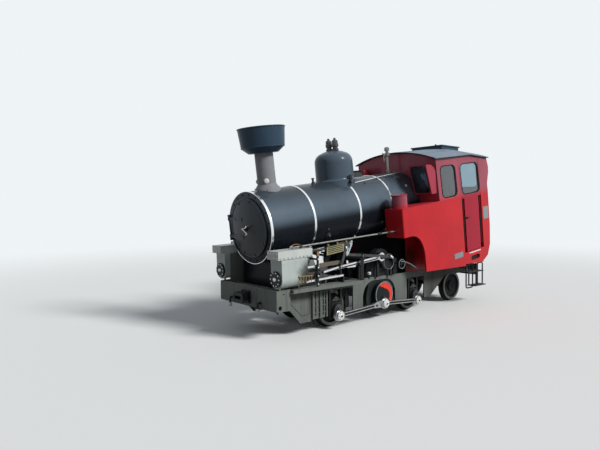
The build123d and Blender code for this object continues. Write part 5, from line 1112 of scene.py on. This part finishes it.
def shaft_details(steel, white, black):
    """Brackets, oil boxes and valves over the frame ahead of the tank."""
    foot_z = 0.822
    for x, z_top in ((0.93, 1.13), (0.42, 1.22)):
        block(black, (x, 0.745, (foot_z + z_top) / 2), (0.060, 0.030, z_top - foot_z), 0.004)
        block(black, (x, 0.80, z_top - 0.02), (0.050, 0.100, 0.040), 0.004)
    # Bracket of the lifting shaft, outside the eccentric rod
    block(black, (1.015, 0.898, 1.035), (0.085, 0.012, 0.425), 0.003)
    solid(black, (0.985, 0.898, 1.250), LEFT, 20, (0.050, -0.008), (0.050, 0.010), (0.030, 0.020))
    block(black, (0.985, 0.80, 1.315), (0.034, 0.20, 0.034), 0.008)
    # Oil boxes over the jackshaft and the crank
    solid(steel, (0.52, 0.86, 1.195), UP, 16, (0.030, 0), (0.030, 0.040), (0, 0.044))
    solid(black, (0.72, 0.80, foot_z), UP, 14, (0.020, 0), (0.014, 0.020), (0.014, 0.080))
    solid(white, (0.72, 0.80, 0.900), UP, 18, (0.026, 0), (0.034, 0.010), (0.034, 0.044), (0.018, 0.054))
    solid(steel, (0.10, 0.845, 1.165), UP, 14, (0.022, 0), (0.022, 0.030), (0.014, 0.040), (0, 0.042))
    block(black, (0.06, 0.80, 1.140), (0.120, 0.130, 0.060), 0.008)
    block(black, (0.06, 0.760, 0.97), (0.060, 0.040, 0.300), 0.004)


def web_beads():
    """Lighter steel rings on the turned edges of the crank webs, as painted highlights."""
    for side, word in SIDES:
        s, n = CRANKS[side]
        for label, share, radius in (("disc", -0.2, 0.146), ("pin", 1.0, 0.074)):
            ring = circle(motion(s * share, side * 0.8385, n * share), radius, 36, ALONG, ACROSS)
            pipe(f"crank_{label}_bead_{word}", ring, 0.005, "grey_steel", "bright_steel", True)


def motion_covers():
    olive, ribs, tan_sides, pale, dark, bright, joints = (bmesh.new() for _ in range(7))
    corners = [Vector((x, 0.9010, z)) for x, z in ((1.900, 1.352), (1.900, 1.492), (1.490, 1.536), (1.490, 1.402))]
    skin(olive, [corners, [corner + LEFT * 0.006 for corner in corners]], capped=True)
    line = (corners[2] - corners[1]).normalized()
    for share in (0.20, 0.42, 0.64, 0.86):
        start, end = corners[0].lerp(corners[1], share), corners[3].lerp(corners[2], share)
        block(ribs, (start + end) / 2 + LEFT * 0.0075, ((end - start).length * 0.86, 0.004, 0.013), 0.001,
              (line, LEFT, line.cross(LEFT)))
    block(tan_sides, motion(1.580, 0.8700, 0.124), (0.440, 0.006, 0.072), 0.002, (ALONG, LEFT, ACROSS))
    bar(pale, (1.394, 0.8848, 1.334), (1.279, 0.8848, 1.555), 0.003, 0.078, 0.001, LEFT, 0.030)
    bar(dark, (1.394, 0.8868, 1.334), (1.279, 0.8868, 1.555), 0.002, 0.014, 0.0005, LEFT, 0.110)
    start, end = motion(2.4, 0.915, 0.487), tilted(0.126, 0.915, -0.470)
    for share, size, long in ((0.05, 0.024, 0.05), (0.79, 0.024, 0.10), (0.90, 0.028, 0.06)):
        solid(joints, start.lerp(end, share), end - start, 14, (size, 0), (size + 0.004, long * 0.3),
              (size + 0.004, long * 0.7), (size, long))
    mirror(dark)
    for side, piston_s in ((1, 1.720), (-1, 1.4423)):
        out = LEFT * side
        start, end = motion(piston_s, side * 0.8490, 0.0), motion(CRANKS[side][0], side * 0.8490, CRANKS[side][1])
        below = (end - start).normalized().cross(out)
        below = below * (0.012 if below.z < 0 else -0.012)
        bar(dark, start + below, end + below, 0.002, 0.024, 0.0005, out, 0.26)
        bar(bright, motion(piston_s, side * 0.8858, 0.0), (1.558, side * 0.8858, 1.130), 0.0016, 0.030, 0.0004, out)
    add_piece("valve_guide_covers", mirror(olive), "olive_brass", "fitting_brass")
    add_piece("union_link_faces", bright, "bright_rod", "bright_steel")
    add_piece("valve_guide_ribs", mirror(ribs), "black", "running_gear_black")
    add_piece("slide_bar_sides", mirror(tan_sides), "bar_tan", "bright_steel")
    add_piece("link_faces", mirror(pale), "link_pale", "bright_steel")
    add_piece("rod_and_link_flutes", dark, "black", "bright_steel")
    add_piece("control_rod_joints", mirror(joints), "black", "bright_steel", 40)


def motion_pipes():
    drain = ((2.25, 0.83, -0.225), (2.25, 0.83, -0.27), (2.64, 0.83, -0.27), (2.64, 0.83, -0.225))
    chest_oil = ((2.40, 0.86, 0.50), (2.34, 0.86, 0.54), (2.15, 0.84, 0.50), (2.02, 0.80, 0.42))
    tank_drain = ((-0.14, 0.86, 1.09), (-0.30, 0.90, 1.07), (-0.57, 0.90, 0.926), (-0.72, 0.90, 0.85),
                  (-0.90, 0.86, 0.812))
    drain, chest_oil = ([motion(*place) for place in bends] for bends in (drain, chest_oil))
    add_twins(("drain_pipe", drain, 0.009, "copper", "fitting_brass"),
              ("chest_oil_pipe", chest_oil, 0.007, "copper", "fitting_brass"),
              ("tank_drain_pipe", tank_drain, 0.013, "frame", "frame_grey"))


class LOCO_OT_motion(bpy.types.Operator):
    """Bolts, oil cups, cocks and pipes of the cylinders and the motion"""
    bl_idname = "loco.motion"
    bl_label = "Motion details"

    def execute(self, context):
        steel, black, white, brass = (bmesh.new() for _ in range(4))
        cylinder_details(steel, white, brass)
        valve_details(steel, white, brass)
        shaft_details(steel, white, black)
        mirror(steel)
        for side, s, n in RETURN_PINS:
            solid(steel, motion(s, side * 0.8835, n), LEFT * side, 16, (0.024, 0), (0.024, 0.014), (0.014, 0.022))
        add_piece("motion_bolts", steel, "steel", "bright_steel", 40)
        add_piece("motion_white_nuts", mirror(white), "white", "casing_grey", 40)
        add_piece("motion_oil_cups", mirror(brass), "brass", "fitting_brass", 40)
        add_piece("shaft_brackets", mirror(black), "black", "running_gear_black")
        web_beads()
        motion_covers()
        motion_pipes()
        return {"FINISHED"}


# Stage

def seen_mask(net):
    """1 for what the camera sees straight, mirrored or through glass."""
    straight, mirrored, through = (net.add("LightPath", {}, f"Is {kind} Ray")
                                   for kind in ("Camera", "Glossy", "Transmission"))
    return net.maths("MAXIMUM", (net.maths("MAXIMUM", (straight, mirrored)), through))


def build_world(settings):
    world = bpy.data.worlds.new("Pale surroundings")
    bpy.context.scene.world = world
    world.use_nodes = True
    net = Net(world.node_tree)
    net.tree.nodes.clear()
    seen = net.add("Background", {"Color": settings.backdrop, "Strength": 1.0})
    light = net.add("Background", {"Color": (0.90, 0.95, 1.0), "Strength": settings.sky_light})
    mix = net.add("MixShader", {"Fac": seen_mask(net), 1: light, 2: seen})
    net.feed(net.tree.nodes.new("ShaderNodeOutputWorld").inputs["Surface"], mix)


def build_floor(settings):
    """Plain floor, just under the wheels, that fades into the surroundings."""
    bm = bmesh.new()
    half = settings.floor_size
    bm.faces.new([bm.verts.new((x * half, y * half, -0.002)) for x, y in ((-1, -1), (1, -1), (1, 1), (-1, 1))])
    mesh = bpy.data.meshes.new("stage_floor")
    bm.to_mesh(mesh)
    bm.free()
    floor = bpy.data.objects.new("stage_floor", mesh)
    bpy.context.scene.collection.objects.link(floor)
    made, net, shader = start_material("Pale floor")
    net.feed(shader["Base Color"], net.mixed(seen_mask(net), settings.floor_bounce, settings.floor))
    shader["Roughness"].default_value = 0.85
    shader["Specular IOR Level"].default_value = 0.1
    distance = net.add("VectorMath", {0: net.place()}, "Value", operation="LENGTH")
    far = net.times(net.spread(distance, 7.0, 22.0), seen_mask(net))
    nodes = net.tree.nodes
    glow = net.add("Emission", {"Color": settings.backdrop})
    mix = net.add("MixShader", {"Fac": far, 1: nodes["Principled BSDF"].outputs[0], 2: glow})
    net.feed(nodes["Material Output"].inputs["Surface"], mix)
    mesh.materials.append(made)


def build_light(settings):
    lamp = bpy.data.lights.new("soft_sun", "SUN")
    lamp.energy = settings.key_light
    lamp.angle = radians(16)
    lamp.color = (1.0, 0.985, 0.96)
    sun = bpy.data.objects.new("soft_sun", lamp)
    sun.rotation_mode = "QUATERNION"
    sun.rotation_quaternion = Vector((-0.30, 0.78, 0.62)).to_track_quat("Z", "Y")
    bpy.context.scene.collection.objects.link(sun)


def build_camera():
    yaw, pitch, roll = 0.6974, 0.0362, 0.0089
    look = Vector((-sin(yaw) * cos(pitch), -cos(yaw) * cos(pitch), -sin(pitch)))
    right = Vector((-cos(yaw), sin(yaw), 0))
    down = look.cross(right)
    right_rolled = right * cos(roll) + down * sin(roll)
    down_rolled = down * cos(roll) - right * sin(roll)
    lens = bpy.data.cameras.new("photo_camera")
    lens.sensor_width = 36.0
    lens.lens = 30.274
    lens.clip_end = 300
    camera = bpy.data.objects.new("photo_camera", lens)
    turned = Matrix((right_rolled, -down_rolled, -look)).transposed().to_4x4()
    camera.matrix_world = Matrix.Translation((7.773, 7.208, 2.189)) @ turned
    bpy.context.scene.collection.objects.link(camera)
    bpy.context.scene.camera = camera


class LOCO_OT_stage(bpy.types.Operator):
    """Builds the plain floor, the soft light and the camera"""
    bl_idname = "loco.stage"
    bl_label = "Stage"

    def execute(self, context):
        settings = context.scene.loco_stage
        context.scene.view_settings.view_transform = "Standard"
        build_world(settings)
        build_floor(settings)
        build_light(settings)
        build_camera()
        return {"FINISHED"}


OPERATORS = (LOCO_OT_boiler, LOCO_OT_smokebox_door, LOCO_OT_body, LOCO_OT_window_rubbers, LOCO_OT_cab_inside,
             LOCO_OT_running_gear, LOCO_OT_motion, LOCO_OT_stage)


class LOCO_PT_panel(bpy.types.Panel):
    """Lists the locomotive's steps"""
    bl_idname = "LOCO_PT_panel"
    bl_label = "Rack locomotive"
    bl_space_type = "VIEW_3D"
    bl_region_type = "UI"
    bl_category = "Locomotive"

    def draw(self, context):
        for operator in OPERATORS:
            self.layout.operator(operator.bl_idname)
        for settings in (context.scene.loco_paints, context.scene.loco_trim, context.scene.loco_stage):
            box = self.layout.box()
            for key in settings.__annotations__:
                box.prop(settings, key)


CLASSES = (LocoPaints, LocoTrim, LocoStage, *OPERATORS, LOCO_PT_panel)


def register():
    for cls in CLASSES:
        bpy.utils.register_class(cls)
    bpy.types.Scene.loco_paints = PointerProperty(type=LocoPaints)
    bpy.types.Scene.loco_trim = PointerProperty(type=LocoTrim)
    bpy.types.Scene.loco_stage = PointerProperty(type=LocoStage)


def unregister():
    del bpy.types.Scene.loco_stage
    del bpy.types.Scene.loco_trim
    del bpy.types.Scene.loco_paints
    for cls in reversed(CLASSES):
        bpy.utils.unregister_class(cls)


def main():
    register()
    build_finishes()
    for operator in OPERATORS:
        group, name = operator.bl_idname.split(".")
        getattr(getattr(bpy.ops, group), name)()


if __name__ == "__main__":
    main()
